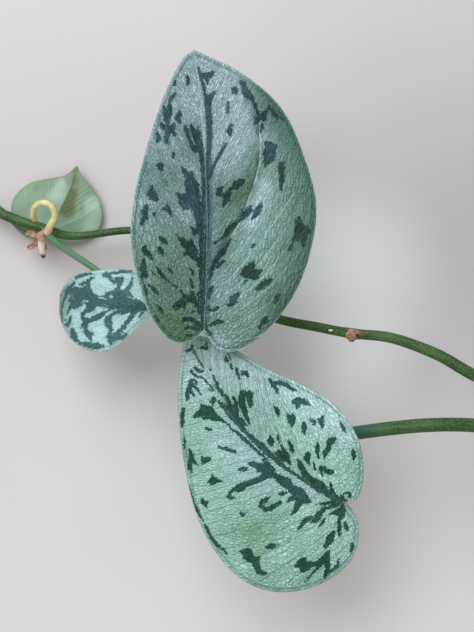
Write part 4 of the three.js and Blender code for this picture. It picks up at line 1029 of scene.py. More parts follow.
@dataclass(frozen=True)
class SilverLeaf(Finish):
    """The upper face of a blade: silver cells over green, ragged dark blotches, a slate midrib band, and
    painted light and shade.
    """

    silver: str
    # The sheen colour is a painted reflection of the window where the tone spots are light; the green is
    # painted shade where they are dark.
    sheen: str
    green: str
    dark: str = "#183f2f"
    # The marks' second colour gives their real lighter streaks, and their painted sheen where the tone spots
    # are light.
    dark_streak_and_sheen: str = "#3f5f64"
    # The slate colour paints the midrib band and streaks in the marks near the midrib; it is partly a painted
    # sheen.
    slate: str = "#54747a"
    # The crinkle colour is the real mesh of tiny veins, and also painted shade in the crinkle valleys and
    # along the right margin.
    net_and_shade: str = "#40664f"
    line: str = "#a9c8c0"
    line_share: float = 0.7
    line_side: float = 1.0
    # The pale rim colour is partly a painted highlight where the margin curls.
    rim: str = "#86a394"
    fleck: str = "#0e261b"
    band_share: float = 0.8
    ragged: float = 0.5
    grow: float = 0.14
    emboss: float = 0.5
    crinkle: float = 0.6
    band_edge: float = 0.6
    band_core: float = -0.5
    line_often: float = 3.0
    line_width: float = 0.06
    streaks: float = 0.55
    rib_share: float = 0.2
    relief: float = 0.25
    # How much shade is painted along the right margin, which tilts away from the window.
    margin: float = 0.0
    calm: float = 0.0

    def sockets(self, g: Graph) -> dict[str, object]:
        """Say what the shader's sockets get.

        Args:
            g: The material's graph.

        Returns:
            The sockets by name.
        """
        place, rib, rim, vein = g.place("leaf_xy"), g.value("rib"), g.value("rim"), g.value("vein")
        way = {"Phase": vein, "Rib": rib}
        marks = {"Mark": g.value("mark"), "Place": place, "Ragged": self.ragged, "Grow": self.grow}
        blotch = g.use(VARIEGATION, {**way, **marks})
        cells = g.use(GRAIN, {**way, "Place": place})
        lines = g.use(VEINS, {**way, "Often": self.line_often, "Width": self.line_width})
        # Painted light and shade: the tone spots, with a soft drift of noise.
        tone = g.total(g.value("tone"), g.scaled(g.noise(place, 0.09, 4.0, 0.6), 1.1, 0.5))
        calm = g.step(rib, 5.0, 17.0, 1.0, 1.0 - self.calm)
        # Painted shade in the crinkle valleys, laid over the real darker mesh of tiny veins.
        net_and_crevice_shade = g.times(calm, g.total(
            g.scaled(cells["Fleck"], 0.14), g.scaled(cells["Net"], -self.crinkle, 1.0),
            g.scaled(lines["Streak"], 0.1),
        ))
        sided = g.step(rib, -2.0 * self.line_side, 2.0 * self.line_side, 0.25, self.line_share)
        # Painted shade along the right margin, which tilts away from the window.
        border = g.times(g.step(rim, 15.0, 1.0, 0.0, self.margin), g.step(rib, 11.0, 24.0))
        # The slate midrib band, partly a painted sheen.
        fibre = g.noise(g.vector(g.times(rib, 1.9), g.times(vein, 0.5)), 1.0, 3.0)
        band_distance = g.total(g.value("band_and_sheen"), g.scaled(fibre, 1.6, 0.5))
        band_and_sheen = g.times(g.step(band_distance, self.band_edge, self.band_core), self.band_share)
        # Painted shade on the left side of the crease, and a pale vein line along it that is partly a painted
        # highlight.
        crease = g.value("crease")
        fold = g.times(g.step(crease, -2.2, -0.3), g.step(crease, 0.1, -0.1))
        silver = g.layers(
            self.silver, (g.step(tone, 0.05, -0.9), self.green), (g.step(tone, -0.05, 0.85), self.sheen),
            (net_and_crevice_shade, self.net_and_shade), (g.times(lines["Line"], sided), self.line),
            (g.times(blotch["Halo"], 0.16), self.green), (border, self.net_and_shade), (band_and_sheen, self.slate),
            (g.times(fold, g.step(g.noise(place, 0.2), 0.35, 0.6, 0.2, 0.75)), self.dark),
            (g.times(g.near(crease, 0.4, 0.1), g.step(g.noise(place, 0.3), 0.35, 0.6, 0.1, 0.65)), self.line),
        )
        # The marks take a painted sheen where the tone spots are light, and real lighter streaks.
        dark = g.layers(
            self.dark, (g.step(tone, -0.1, 0.6), self.dark_streak_and_sheen),
            (g.times(lines["Streak"], 0.35), self.dark_streak_and_sheen),
            (g.times(g.near(rib, 2.4, 0.8, self.streaks), lines["Streak"]), self.slate),
            (g.scaled(cells["Fleck"], 0.3), self.fleck),
        )
        # Painted shade of a small groove about a millimetre inside the margin, which the bump also sinks.
        shaded_groove = g.times(g.step(rim, 0.6, 1.1), g.step(rim, 1.9, 1.3), g.noise(place, 0.08, 2.0))
        # The pale rim is partly a painted highlight where the margin curls.
        colour = g.layers(
            silver, (blotch["Dark"], dark), (g.near(rib, 0.32, 0.08, self.rib_share), self.line),
            (g.times(shaded_groove, 0.75), self.dark), (g.step(rim, 0.4, 0.12, 0.0, 0.7), self.rim),
        )
        height = g.total(
            g.times(cells["Height"], calm, self.emboss), g.times(lines["Height"], self.relief),
            g.scaled(blotch["Dark"], -0.03), g.step(rim, 0.0, 0.9, 0.0, 0.28), g.scaled(shaded_groove, -0.12),
            g.scaled(band_and_sheen, -0.1),
        )
        rough = g.total(0.42, g.scaled(cells["Fleck"], 0.14), g.scaled(blotch["Dark"], -0.04))
        return {"Base Color": colour, "Roughness": rough, "Normal": g.bump(height), "Specular IOR Level": 0.3}


@dataclass(frozen=True)
class LeafBack(Finish):
    """The underside of a blade: pale matt green with raised veins, and painted light and shade from its tone
    spots.
    """

    name: str = "leaf_back"
    pale: str = "#8da48a"
    # The light colour is the pale veins, and painted light where the tone spots are light.
    light: str = "#b6cebd"
    green: str = "#76906f"
    # Painted shade where the tone spots are dark.
    painted_shade: str = "#58643f"
    warm: str = "#7e7a56"

    def sockets(self, g: Graph) -> dict[str, object]:
        """Say what the shader's sockets get.

        Args:
            g: The material's graph.

        Returns:
            The sockets by name.
        """
        place, rib, rim, vein = g.place("leaf_xy"), g.value("rib"), g.value("rim"), g.value("vein")
        cells = g.use(GRAIN, {"Place": place, "Phase": vein, "Rib": rib})
        lines = g.use(VEINS, {"Phase": vein, "Rib": rib, "Often": 1.0, "Width": 0.09})
        drift = g.noise(place, 0.12, 4.0, 0.6)
        tone = g.total(g.value("tone"), g.scaled(drift, 0.7, 0.5))
        # The tone spots paint light and shade, such as the lit and shaded sides of the keel.
        colour = g.layers(
            self.pale, (g.step(drift, 0.35, 0.7, 0.0, 0.6), self.green),
            (g.step(tone, 0.05, 1.0), self.light), (g.step(tone, -0.15, -1.3), self.painted_shade),
            (g.times(lines["Streak"], 0.14), self.green),
            (g.times(cells["Fleck"], 0.16), self.green), (g.times(lines["Line"], 0.12), self.light),
            (g.step(rim, 0.9, 0.2, 0.0, 0.45), self.green), (g.step(rim, 0.4, 0.1, 0.0, 0.3), self.warm),
        )
        keel = g.near(rib, 0.9, 0.2, 0.2)
        height = g.total(g.times(cells["Height"], 0.04), g.times(lines["Height"], 0.07), keel)
        return {"Base Color": colour, "Roughness": 0.55, "Normal": g.bump(height), "Specular IOR Level": 0.3}


@dataclass(frozen=True)
class SkinSpot:
    """One oval spot on a stem's skin, given in the plant's own millimetres."""

    centre: Point
    reach: Point
    tone: str
    share: float = 1.0

    def cover(self, g: Graph, place: Socket) -> Socket:
        """Find how far the spot covers a place.

        Args:
            g: The material's graph.
            place: The place on the object, in metres.

        Returns:
            The share of the spot's tone there.
        """
        centre = tuple(v * MM for v in self.centre)
        away = g.node("ShaderNodeVectorMath", {0: place, 1: centre}, operation="SUBTRACT").outputs[0]
        scaled = g.stretch(away, tuple(1 / (v * MM) for v in self.reach))
        distance = g.node("ShaderNodeVectorMath", {0: scaled}, operation="LENGTH").outputs["Value"]
        return g.step(distance, 1.25, 0.75, 0.0, self.share)


STEM_SPOTS = (
    SkinSpot((-168.6, 25.2, 31.2), (1.5, 0.75, 1.6), "#1f3412", 0.7),
    SkinSpot((-168.6, 25.2, 31.2), (0.8, 0.36, 1.2), "#cfe8c0"),
    SkinSpot((-166.2, 26.5, 31.0), (1.5, 0.35, 1.2), "#5a3a26", 0.8),
    SkinSpot((-158.8, 24.0, 36.4), (1.5, 0.75, 1.2), "#6d5128", 0.8),
    SkinSpot((-159.6, 25.6, 35.8), (2.2, 0.35, 1.4), "#4f3520", 0.9),
    SkinSpot((-162.0, -9.0, 26.0), (24.0, 10.0, 16.0), "#2f6155", 0.75),
)


@dataclass(frozen=True)
class GreenStem(Finish):
    """Finely speckled green skin of a stem or leaf stalk, with brown scars at the nodes."""

    name: str = "green_stem"
    green: str = "#3d5a28"
    deep: str = "#203c13"
    pale: str = "#86a875"
    scar: str = "#7a6a3c"
    specks: float = 0.62
    spots: tuple[SkinSpot, ...] = ()

    def sockets(self, g: Graph) -> dict[str, object]:
        """Say what the shader's sockets get.

        Args:
            g: The material's graph.

        Returns:
            The sockets by name.
        """
        grow, place = g.place("grow"), g.object_place()
        dots = g.use(SPECKLE, {"Place": g.stretch(grow, (1.0, 1.0, 0.8)), "Size": 0.85})
        streak = g.noise(g.stretch(grow, (1.6, 1.6, 0.12)), 1.0, 3.0)
        colour = g.layers(
            self.green, (g.step(streak, 0.3, 0.7), self.deep), (g.times(dots["Drift"], 0.1), self.pale),
            (g.times(dots["Speck"], self.specks), self.pale),
            (g.step(g.value("node"), 0.72, 0.95, 0.0, 0.8), self.scar),
            *((spot.cover(g, place), spot.tone) for spot in self.spots),
        )
        height = g.total(g.times(dots["Height"], 0.06), g.times(streak, 0.1))
        return {"Base Color": colour, "Roughness": 0.45, "Normal": g.bump(height), "Specular IOR Level": 0.22}


@dataclass(frozen=True)
class YoungRoot(Finish):
    """Smooth cream-yellow skin of a young root, pinkish where it leaves the stem."""

    name: str = "young_root"
    cream: str = "#e0d596"
    deep: str = "#b5a055"
    pink: str = "#dcb89a"

    def sockets(self, g: Graph) -> dict[str, object]:
        """Say what the shader's sockets get.

        Args:
            g: The material's graph.

        Returns:
            The sockets by name.
        """
        dots = g.use(SPECKLE, {"Place": g.place("grow"), "Size": 0.6})
        colour = g.layers(
            self.cream, (g.times(dots["Drift"], 0.6), self.deep), (g.times(dots["Speck"], 0.35), self.deep),
            (g.step(g.value("run"), 0.2, 0.03), self.pink),
        )
        normal = g.bump(g.times(dots["Height"], 0.08))
        return {"Base Color": colour, "Roughness": 0.38, "Normal": normal, "Specular IOR Level": 0.6}


@dataclass(frozen=True)
class DryPaper(Finish):
    """Papery brown tissue with darker ends and fibres along it."""

    name: str = "dry_paper"
    tan: str = "#c4aa92"
    brown: str = "#a5714d"
    dark: str = "#5a3420"

    def sockets(self, g: Graph) -> dict[str, object]:
        """Say what the shader's sockets get.

        Args:
            g: The material's graph.

        Returns:
            The sockets by name.
        """
        grow = g.place("grow")
        fibre = g.noise(g.stretch(grow, (3.2, 3.2, 0.35)), 1.0, 4.0, 0.65)
        colour = g.layers(
            self.tan, (g.step(g.noise(grow, 0.55, 3.0), 0.35, 0.65), self.brown),
            (g.step(fibre, 0.5, 0.78, 0.0, 0.7), self.dark),
            (g.step(g.value("run"), 0.72, 1.0, 0.0, 0.85), self.dark),
        )
        return {"Base Color": colour, "Roughness": 0.78, "Normal": g.bump(fibre, 0.25)}


@dataclass(frozen=True)
class WitheredRoot(Finish):
    """A dried-up root stub: pinkish tan, then cream, with a dark tip."""

    name: str = "withered_root"
    pink: str = "#c69a86"
    cream: str = "#ecdcc0"
    dark: str = "#4a3024"

    def sockets(self, g: Graph) -> dict[str, object]:
        """Say what the shader's sockets get.

        Args:
            g: The material's graph.

        Returns:
            The sockets by name.
        """
        fibre = g.noise(g.stretch(g.place("grow"), (2.4, 2.4, 0.8)), 1.0, 4.0, 0.65)
        end = g.total(g.value("run"), g.scaled(fibre, 0.2, 0.5))
        colour = g.layers(
            self.pink, (g.step(end, 0.4, 0.52), self.cream), (g.step(fibre, 0.52, 0.75, 0.0, 0.6), self.dark),
            (g.step(end, 0.82, 0.95), self.dark),
        )
        return {"Base Color": colour, "Roughness": 0.7, "Normal": g.bump(fibre, 0.4)}


@dataclass(frozen=True)
class FiredClay(Finish):
    """Bare fired clay: matt terracotta with fine sand, drifts of tone and a faint pale bloom."""

    name: str = "fired_clay"
    clay: str = "#b9704c"
    deep: str = "#95512f"
    bloom: str = "#d8c3b0"

    def sockets(self, g: Graph) -> dict[str, object]:
        """Say what the shader's sockets get.

        Args:
            g: The material's graph.

        Returns:
            The sockets by name.
        """
        place = g.stretch(g.object_place(), PER_METRE)
        sand = g.use(SPECKLE, {"Place": place, "Size": 1.1})
        drift = g.noise(g.stretch(place, (1.0, 1.0, 2.4)), 0.02, 4.0)
        rings = g.noise(g.stretch(place, (0.01, 0.01, 0.9)), 1.0, 2.0)
        bloom = g.times(g.step(g.noise(place, 0.045, 5.0, 0.62), 0.5, 0.72), 0.5)
        colour = g.layers(
            self.clay, (g.step(drift, 0.3, 0.7), self.deep), (g.times(sand["Speck"], 0.3), self.deep),
            (bloom, self.bloom),
        )
        height = g.total(g.times(sand["Height"], 0.12), g.times(rings, 0.4))
        return {"Base Color": colour, "Roughness": 0.86, "Normal": g.bump(height)}


@dataclass(frozen=True)
class Crumbs(Finish):
    """Crumbly matter of the potting mix: peat, bark or perlite, by its two tones."""

    first: str
    second: str
    size: float = 1.5

    def sockets(self, g: Graph) -> dict[str, object]:
        """Say what the shader's sockets get.

        Args:
            g: The material's graph.

        Returns:
            The sockets by name.
        """
        dots = g.use(SPECKLE, {"Place": g.stretch(g.object_place(), PER_METRE), "Size": self.size})
        colour = g.layers(
            self.first, (dots["Drift"], self.second), (g.times(dots["Speck"], 0.5), self.second),
        )
        return {"Base Color": colour, "Roughness": 0.93, "Normal": g.bump(g.times(dots["Height"], 0.5))}


@dataclass(frozen=True)
class FloorLightAndTint:
    """A soft round patch of colour on the floor, in metres. Some paint light and shade, and some tint the
    floor.
    """

    tone: str
    middle: Point
    reach: float
    share: float


FLOOR_LIGHT_AND_TINT = (
    # Painted shade to the upper right of the leaves.
    FloorLightAndTint("#a9a9ad", (-0.115, 0.075, 0.0), 0.11, 0.72),
    # Painted light that lifts the leaves' cast shadows beside the stems.
    FloorLightAndTint("#ffffff", (-0.167, 0.042, 0.0), 0.05, 0.75),
    FloorLightAndTint("#ffffff", (-0.163, 0.011, 0.0), 0.035, 0.6),
    # Painted shade at the top right.
    FloorLightAndTint("#c4babb", (-0.13, 0.15, 0.0), 0.1, 0.5),
    # A pinkish tint on the left.
    FloorLightAndTint("#c9bdba", (-0.30, 0.07, 0.0), 0.12, 0.7),
    # Darker towards the left.
    FloorLightAndTint("#cac5c1", (-0.30, -0.03, 0.0), 0.12, 0.45),
    # Painted light that lifts the shade at the lower right.
    FloorLightAndTint("#f4ece6", (-0.12, -0.075, 0.0), 0.1, 0.5),
)


@dataclass(frozen=True)
class PaleSurface(Finish):
    """The plain pale surface that the plant stands on, with soft patches of painted light, painted shade and
    tint.
    """

    name: str = "pale_surface"
    tone: str = "#d9d4d1"
    drift: str = "#cec8c6"
    light_and_tint: tuple[FloorLightAndTint, ...] = FLOOR_LIGHT_AND_TINT

    def sockets(self, g: Graph) -> dict[str, object]:
        """Say what the shader's sockets get.

        Args:
            g: The material's graph.

        Returns:
            The sockets by name.
        """
        place = g.object_place()
        colour = g.layers(self.tone, (g.step(g.noise(place, 3.0, 4.0), 0.35, 0.65), self.drift))
        for patch in self.light_and_tint:
            sockets = {0: place, 1: patch.middle}
            away = g.node("ShaderNodeVectorMath", sockets, operation="DISTANCE").outputs["Value"]
            colour = g.layers(colour, (g.step(away, patch.reach, 0.0, 0.0, patch.share), patch.tone))
        return {"Base Color": colour, "Roughness": 0.6}


# Sizes that all blades share, in millimetres, and how their side veins run.
BLADE_THICKNESS = 0.9
SEAT_INSET = 3.0
STALK_ALONG = 0.16
STALK_LEAVING = 0.35
VALLEY_WIDTH = 2.5
VEIN_SPREAD = 1.6
VEIN_BOW = 0.22
VEIN_SLOPE = 1.65
VEIN_CURVE = 1.9
VEIN_LOWEST = -0.8
VEIN_HIGHEST = 1.4
VEIN_HALVINGS = 22
LINES_PER_VEIN = 1.5
CLEARANCE = 0.35
STALK_SINK = 0.7
EDGE_HALF = 0.13
MORE_HALF = 0.17
EDGE_REACH = 2.5
KEEL_DEPTH = 0.5
KEEL_WIDTH = 1.3
GROOVE_DEPTH = 0.16
GROOVE_WIDTH = 0.75
VALUE_LIMIT = 3
STALK_SIDES = 14


@dataclass(frozen=True)
class Detail:
    """How finely a blade is meshed, and how deep its relief is."""

    rows: int = 66
    columns: int = 18
    quilt: float = 0.3
    side_veins: float = 8.0
    random_marks: int = 46


FINE = Detail(rows=250, columns=88, quilt=0.3, side_veins=9.0, random_marks=0)
MIDDLING = Detail(rows=150, columns=46, quilt=0.2, side_veins=7.0, random_marks=0)


@dataclass(frozen=True)
class FlatGrid:
    """The flat grid of a blade: its places, and how faces and the margin join them."""

    places: np.ndarray
    side: np.ndarray
    w: np.ndarray
    r: np.ndarray
    quads: np.ndarray
    edges: np.ndarray


@dataclass
class Leaf:
    """One blade and its stalk. The blade's own frame has x to the right and y from notch to tip."""

    name: str
    foot: Point
    notch: Point
    heading: float
    pitch: float = 0.0
    roll: float = 0.0
    length: float = 0.0
    outlines: tuple[Stroke, Stroke] | None = None
    left_width: float = 0.92
    right_width: float = 1.08
    fold: float = 0.3
    arch: float = 0.0085
    droop: float = 34.0
    sway: float = 0.02
    wave: float = 0.9
    waves: float = 2.2
    phase: float = 0.0
    foot_radius: float = 1.25
    tip_radius: float = 0.85
    rise: float = 0.5
    hang: float = 0.2
    way: tuple[Point, ...] | None = None
    bends: int = 6
    kind: LeafKind = LeafKind.PLAIN
    detail: Detail = Detail()
    marks: tuple[Stroke, ...] = ()
    gaps: tuple[Stroke, ...] = ()
    band_and_sheen: tuple[Stroke, ...] = ()
    painted_shading: tuple[Point, ...] = ()
    crease: Stroke = ()
    crease_depth: float = 1.9
    crease_width: float = 5.5
    vein_rise: tuple[float, float] = (1.0, 1.0)

    def __post_init__(self) -> None:
        """Take the length from the outline where one is given."""
        if self.outlines:
            self.length = self.outlines[0][-1][1]

    def directions(self) -> tuple[np.ndarray, np.ndarray, np.ndarray]:
        """Find the blade's right, forward and up directions in the plant.

        Returns:
            The three directions, of length one.
        """
        heading, pitch, roll = (math.radians(v) for v in (self.heading, self.pitch, self.roll))
        forward = np.array([
            math.cos(heading) * math.cos(pitch), math.sin(heading) * math.cos(pitch), math.sin(pitch),
        ])
        level = np.array([math.sin(heading), -math.cos(heading), 0.0])
        above = np.cross(level, forward)
        right = level * math.cos(roll) + above * math.sin(roll)
        up = above * math.cos(roll) - level * math.sin(roll)
        return right, forward, up

    def outline(self, side: int) -> Stroke:
        """Give the half outline of one side, in millimetres.

        Args:
            side: -1 for the left half and 1 for the right.

        Returns:
            The places from the notch to the tip.
        """
        if self.outlines:
            return self.outlines[0] if side < 0 else self.outlines[1]
        across = self.length * (self.left_width if side < 0 else self.right_width)
        return tuple((x * across, y * self.length) for x, y in HEART_HALF)

    def flat_place(self, side: int, w: np.ndarray, r: np.ndarray) -> np.ndarray:
        """Find flat places on one half.

        Args:
            side: -1 for the left half and 1 for the right.
            w: Shares along the margin from notch to tip.
            r: Shares from the midrib to the margin.

        Returns:
            Rows of flat coordinates.
        """
        margin = smooth_curve(self.outline(side), w)
        along = self.length * w ** VEIN_SPREAD
        middle = np.column_stack([self.sway * self.length * np.sin(math.pi * along / self.length), along])
        chord = margin * (side, 1) - middle
        bow = VEIN_BOW * np.sin(math.pi * w) ** 2 * r * (1 - r) * side
        return middle + chord * r[:, None] + bow[:, None] * np.column_stack([chord[:, 1], -chord[:, 0]])

    def off_midrib(self, flat: np.ndarray) -> np.ndarray:
        """Measure how far flat places lie to the right of the swaying midrib.

        Args:
            flat: Rows of flat coordinates.

        Returns:
            The distances, below zero on the left.
        """
        inside = np.clip(flat[:, 1] / self.length, 0, 1)
        return flat[:, 0] - self.sway * self.length * np.sin(math.pi * inside)

    def vein_phase(self, flat: np.ndarray) -> np.ndarray:
        """Number the side veins, 1.5 to a vein: find where on the midrib each place's vein starts.

        Args:
            flat: Rows of flat coordinates.

        Returns:
            The number at each place.
        """
        off = self.off_midrib(flat)
        away = np.abs(off) / self.length
        rise = np.where(off < 0, self.vein_rise[0], self.vein_rise[1])
        low, high = np.full(len(flat), VEIN_LOWEST), np.full(len(flat), VEIN_HIGHEST)
        for _ in range(VEIN_HALVINGS):
            start = (low + high) / 2
            slope = VEIN_SLOPE / (1 + np.exp((0.095 - start) / 0.03))
            bend = VEIN_CURVE * np.exp(-(((start - 0.04) / 0.08) ** 2))
            over = start + rise * (slope * away + bend * away * away) > flat[:, 1] / self.length
            low, high = np.where(over, low, start), np.where(over, start, high)
        return LINES_PER_VEIN * self.detail.side_veins * start

    def relief(self, flat: np.ndarray) -> np.ndarray:
        """Work out the low relief of the face: the pillows between veins and the sharp crease.

        Args:
            flat: Rows of flat coordinates.

        Returns:
            The height at each place.
        """
        off = np.abs(self.off_midrib(flat))
        phase = self.vein_phase(flat)
        margin = np.clip(self.margin_distance(flat) / 6, 0, 1)
        pillow = np.abs(np.sin(math.pi * phase)) ** 0.7 - 0.62
        pillow += 0.4 * np.abs(np.sin(3 * math.pi * phase)) ** 0.8 * np.clip(off / 12, 0, 1)
        height = self.detail.quilt * pillow * margin * np.clip(off / 5, 0, 1)
        if self.crease:
            gap = np.hypot(side_distance(flat, self.crease), 0.35)
            height -= self.crease_depth * np.exp(-gap / self.crease_width) * margin
        return height

    def tone(self, flat: np.ndarray) -> np.ndarray:
        """Add up the painted light and shade: the given spots, and soft waves on a blade without them.

        Args:
            flat: Rows of flat coordinates.

        Returns:
            The tone at each place, lighter above zero.
        """
        off = self.off_midrib(flat)
        if not self.painted_shading:
            along = 0.35 * np.sin(flat[:, 1] * 5 / self.length + self.phase)
            return along + 0.25 * np.sin(off * 6 / self.length)
        total = np.zeros(len(flat))
        for x, y, radius, strength, side in self.painted_shading:
            apart = np.hypot(flat[:, 0] - x, flat[:, 1] - y) / radius
            facing = np.clip(0.5 + side * off, 0, 1) if side else 1.0
            total += strength * np.exp(-apart * apart) * facing
        return total

    def margin_distance(self, flat: np.ndarray) -> np.ndarray:
        """Measure how far flat places are from the margin.

        Args:
            flat: Rows of flat coordinates.

        Returns:
            The distance at each place.
        """
        shares = np.linspace(0, 1, 90)
        edges = tuple(
            tuple((x * side, y, 0.0) for x, y in smooth_curve(self.outline(side), shares)) for side in (-1, 1)
        )
        return stroke_distance(flat, edges, FAR_AWAY)

    def surface(self, flat: np.ndarray, side: np.ndarray, w: np.ndarray, r: np.ndarray) -> np.ndarray:
        """Raise flat places to the blade's middle surface, in the blade's own frame.

        Args:
            flat: Rows of flat coordinates.
            side: -1 on the left half, 1 on the right and 0 on the midrib.
            w: Shares along the margin from notch to tip.
            r: Shares from the midrib to the margin.

        Returns:
            The raised places.
        """
        off = self.off_midrib(flat)
        valley = np.hypot(off, VALLEY_WIDTH) - VALLEY_WIDTH
        ripple = self.wave * np.sin(2 * math.pi * self.waves * w + self.phase + side) * r * r
        height = self.fold * valley - self.arch * off * off + ripple * np.sin(math.pi * w) + self.relief(flat)
        bend = math.radians(self.droop) / self.length
        turn = bend * flat[:, 1]
        return np.column_stack([
            flat[:, 0],
            np.sin(turn) / bend + height * np.sin(turn),
            (np.cos(turn) - 1) / bend + height * np.cos(turn),
        ])

    def random_marks(self) -> tuple[Stroke, ...]:
        """Draw marks for a blade that has no listed marks: streaks along the veins and a midrib band.

        Returns:
            The marks as strokes.
        """
        rng = np.random.default_rng(int(self.length * 100) + sum(map(ord, self.name)))
        scale = self.length / 75
        strokes: list[Stroke] = []
        band = []
        for share in np.linspace(0.01, 0.94, 12):
            y = share * self.length
            x = self.sway * self.length * math.sin(math.pi * share)
            x += rng.normal(0, 0.4) * scale
            band.append((x, y, (1.3 - 0.8 * share + rng.uniform(0, 0.7)) * scale))
        strokes.append(tuple(band))
        for _ in range(self.detail.random_marks):
            side = int(rng.choice((-1, 1)))
            start = np.array([rng.uniform(0.02, 0.95)])
            reach = rng.uniform(0.06, 0.9)
            run = rng.uniform(0.04, 0.16)
            size = rng.choice((0.55, 0.9, 1.3, 1.9), p=(0.3, 0.35, 0.22, 0.13)) * scale
            chain = []
            for k, share in enumerate((0.0, 0.4, 0.75, 1.0)):
                r = np.array([min(reach + run * share, 0.95)])
                x, y = self.flat_place(side, start, r)[0]
                swell = (0.4, 1.0, 0.9, 0.3)[k]
                chain.append((x + rng.normal(0, 0.35) * scale, y + rng.normal(0, 0.35) * scale, size * swell))
            strokes.append(tuple(chain))
        return tuple(strokes)

    def flat_grid(self) -> FlatGrid:
        """Lay a grid over both halves of the blade, which share the midrib.

        Returns:
            The grid.
        """
        rows, columns = self.detail.rows, self.detail.columns
        shares = np.linspace(0, 1, rows + 1)
        even = np.arange(1, columns + 1) / columns
        steps = even - 0.08 * np.sin(2 * math.pi * even)
        none = np.zeros(rows + 1)
        flats, sides, ws, rs = [self.flat_place(1, shares, none)], [none], [shares], [none]
        quads, edges = [], []
        count = rows + 1
        for side in (-1, 1):
            w, r = (grid.ravel() for grid in np.meshgrid(shares[1:-1], steps, indexing="ij"))
            flats.append(self.flat_place(side, w, r))
            sides.append(np.full(len(w), float(side)))
            ws.append(w)
            rs.append(r)
            grid = np.tile(np.arange(rows + 1)[:, None], (1, columns + 1))
            grid[1:-1, 1:] = count + np.arange(len(w)).reshape(rows - 1, columns)
            count += len(w)
            corners = [grid[:-1, :-1], grid[:-1, 1:], grid[1:, 1:], grid[1:, :-1]]
            quads.append(np.stack(corners, axis=-1).reshape(-1, 4)[:, ::side])
            edges.append(np.column_stack([grid[:-1, -1], grid[1:, -1]])[:, ::side])
        return FlatGrid(*(np.concatenate(parts) for parts in (flats, sides, ws, rs, quads, edges)))

    def point_values(self, flat: np.ndarray, rim: np.ndarray) -> dict[str, np.ndarray]:
        """Work out what the finishes read at each place.

        Args:
            flat: Rows of flat coordinates.
            rim: How far each place is from the margin.

        Returns:
            The values by name.
        """
        off = self.off_midrib(flat)
        share = np.clip(flat[:, 1] / self.length, 0, 1)
        mark = stroke_distance(flat, self.marks or self.random_marks())
        if self.gaps:
            mark = np.maximum(mark, -stroke_distance(flat, self.gaps))
        band_and_sheen = np.abs(off) - 0.02 * self.length * (1 - share)
        if self.band_and_sheen:
            band_and_sheen = stroke_distance(flat, self.band_and_sheen)
        crease = side_distance(flat, self.crease) if self.crease else np.full(len(flat), FAR_AWAY)
        near = {"mark": mark, "band_and_sheen": band_and_sheen, "crease": crease}
        return {
            "rim": rim, "rib": off, "vein": self.vein_phase(flat), "tone": self.tone(flat),
            "leaf_xy": np.column_stack([flat, np.zeros(len(flat))]),
            **{key: np.clip(value, -VALUE_LIMIT, VALUE_LIMIT) for key, value in near.items()},
        }

    def blade(self, finishes: list[Material]) -> Piece:
        """Build the blade: one closed shell, thick at the midrib and thin at the margin.

        Args:
            finishes: The materials of its upper face and its underside.

        Returns:
            The new object.
        """
        grid = self.flat_grid()
        flat, quads = grid.places, grid.quads
        middle = self.surface(flat, grid.side, grid.w, grid.r)
        normals = face_normals(middle, np.vstack([quads[:, [0, 1, 2]], quads[:, [0, 2, 3]]]))
        off, share = np.abs(self.off_midrib(flat)), np.clip(flat[:, 1] / self.length, 0, 1)
        rim = self.margin_distance(flat)
        edge_share = np.clip(rim / EDGE_REACH, 0, 1)[:, None]
        keel = (KEEL_DEPTH * np.exp(-(off / KEEL_WIDTH) ** 2) * (1.05 - share))[:, None]
        groove = (GROOVE_DEPTH * np.exp(-(off / GROOVE_WIDTH) ** 2) * (1.1 - share))[:, None]
        upper = middle + normals * (EDGE_HALF + MORE_HALF * edge_share - groove)
        lower = middle - normals * (EDGE_HALF + MORE_HALF * edge_share + keel)
        points = np.vstack([upper, lower]) @ np.vstack(self.directions()) + np.array(self.notch)
        tidy = [tuple(dict.fromkeys(q)) for q in quads.tolist()]
        top = [q for q in tidy if len(q) > 2]
        low = [tuple(i + len(flat) for i in reversed(q)) for q in top]
        walls = [(b, a, a + len(flat), b + len(flat)) for a, b in grid.edges.tolist()]
        values = self.point_values(flat, rim)
        body = Body()
        body.add(points, top + walls + low, 0, **{key: np.concatenate([v, v]) for key, v in values.items()})
        body.finish_of_face = [0] * (len(top) + len(walls)) + [1] * len(low)
        slot = "leaf_back" if self.kind is LeafKind.TURNED else "leaf_silver"
        return body.build(self.name + "_blade", finishes, slot, self.name)

    def stalk_path(self) -> np.ndarray:
        """Find the points that the stalk follows, from the stem to under the notch.

        Returns:
            The places from the foot up.
        """
        _, forward, up = self.directions()
        height = self.tip_radius * STALK_ALONG / math.hypot(STALK_ALONG, self.hang)
        seat = np.array(self.notch) + forward * SEAT_INSET - up * (BLADE_THICKNESS / 2 + CLEARANCE + height)
        foot = np.array(self.foot, float)
        if self.way is not None:
            return np.vstack([foot, self.way, seat + up * STALK_SINK])
        reach = np.linalg.norm(seat - foot)
        leave = seat - foot
        leave[2] = self.rise * reach
        leave /= np.linalg.norm(leave)
        arrive = seat - forward * STALK_ALONG * reach - up * self.hang * reach
        start = foot + leave * STALK_LEAVING * reach
        t = np.linspace(0, 1, self.bends + 1)[:, None]
        left = 1 - t
        arc = left ** 3 * foot + 3 * left ** 2 * t * start + 3 * left * t ** 2 * arrive + t ** 3 * seat
        arc[-1] += up * STALK_SINK
        return arc

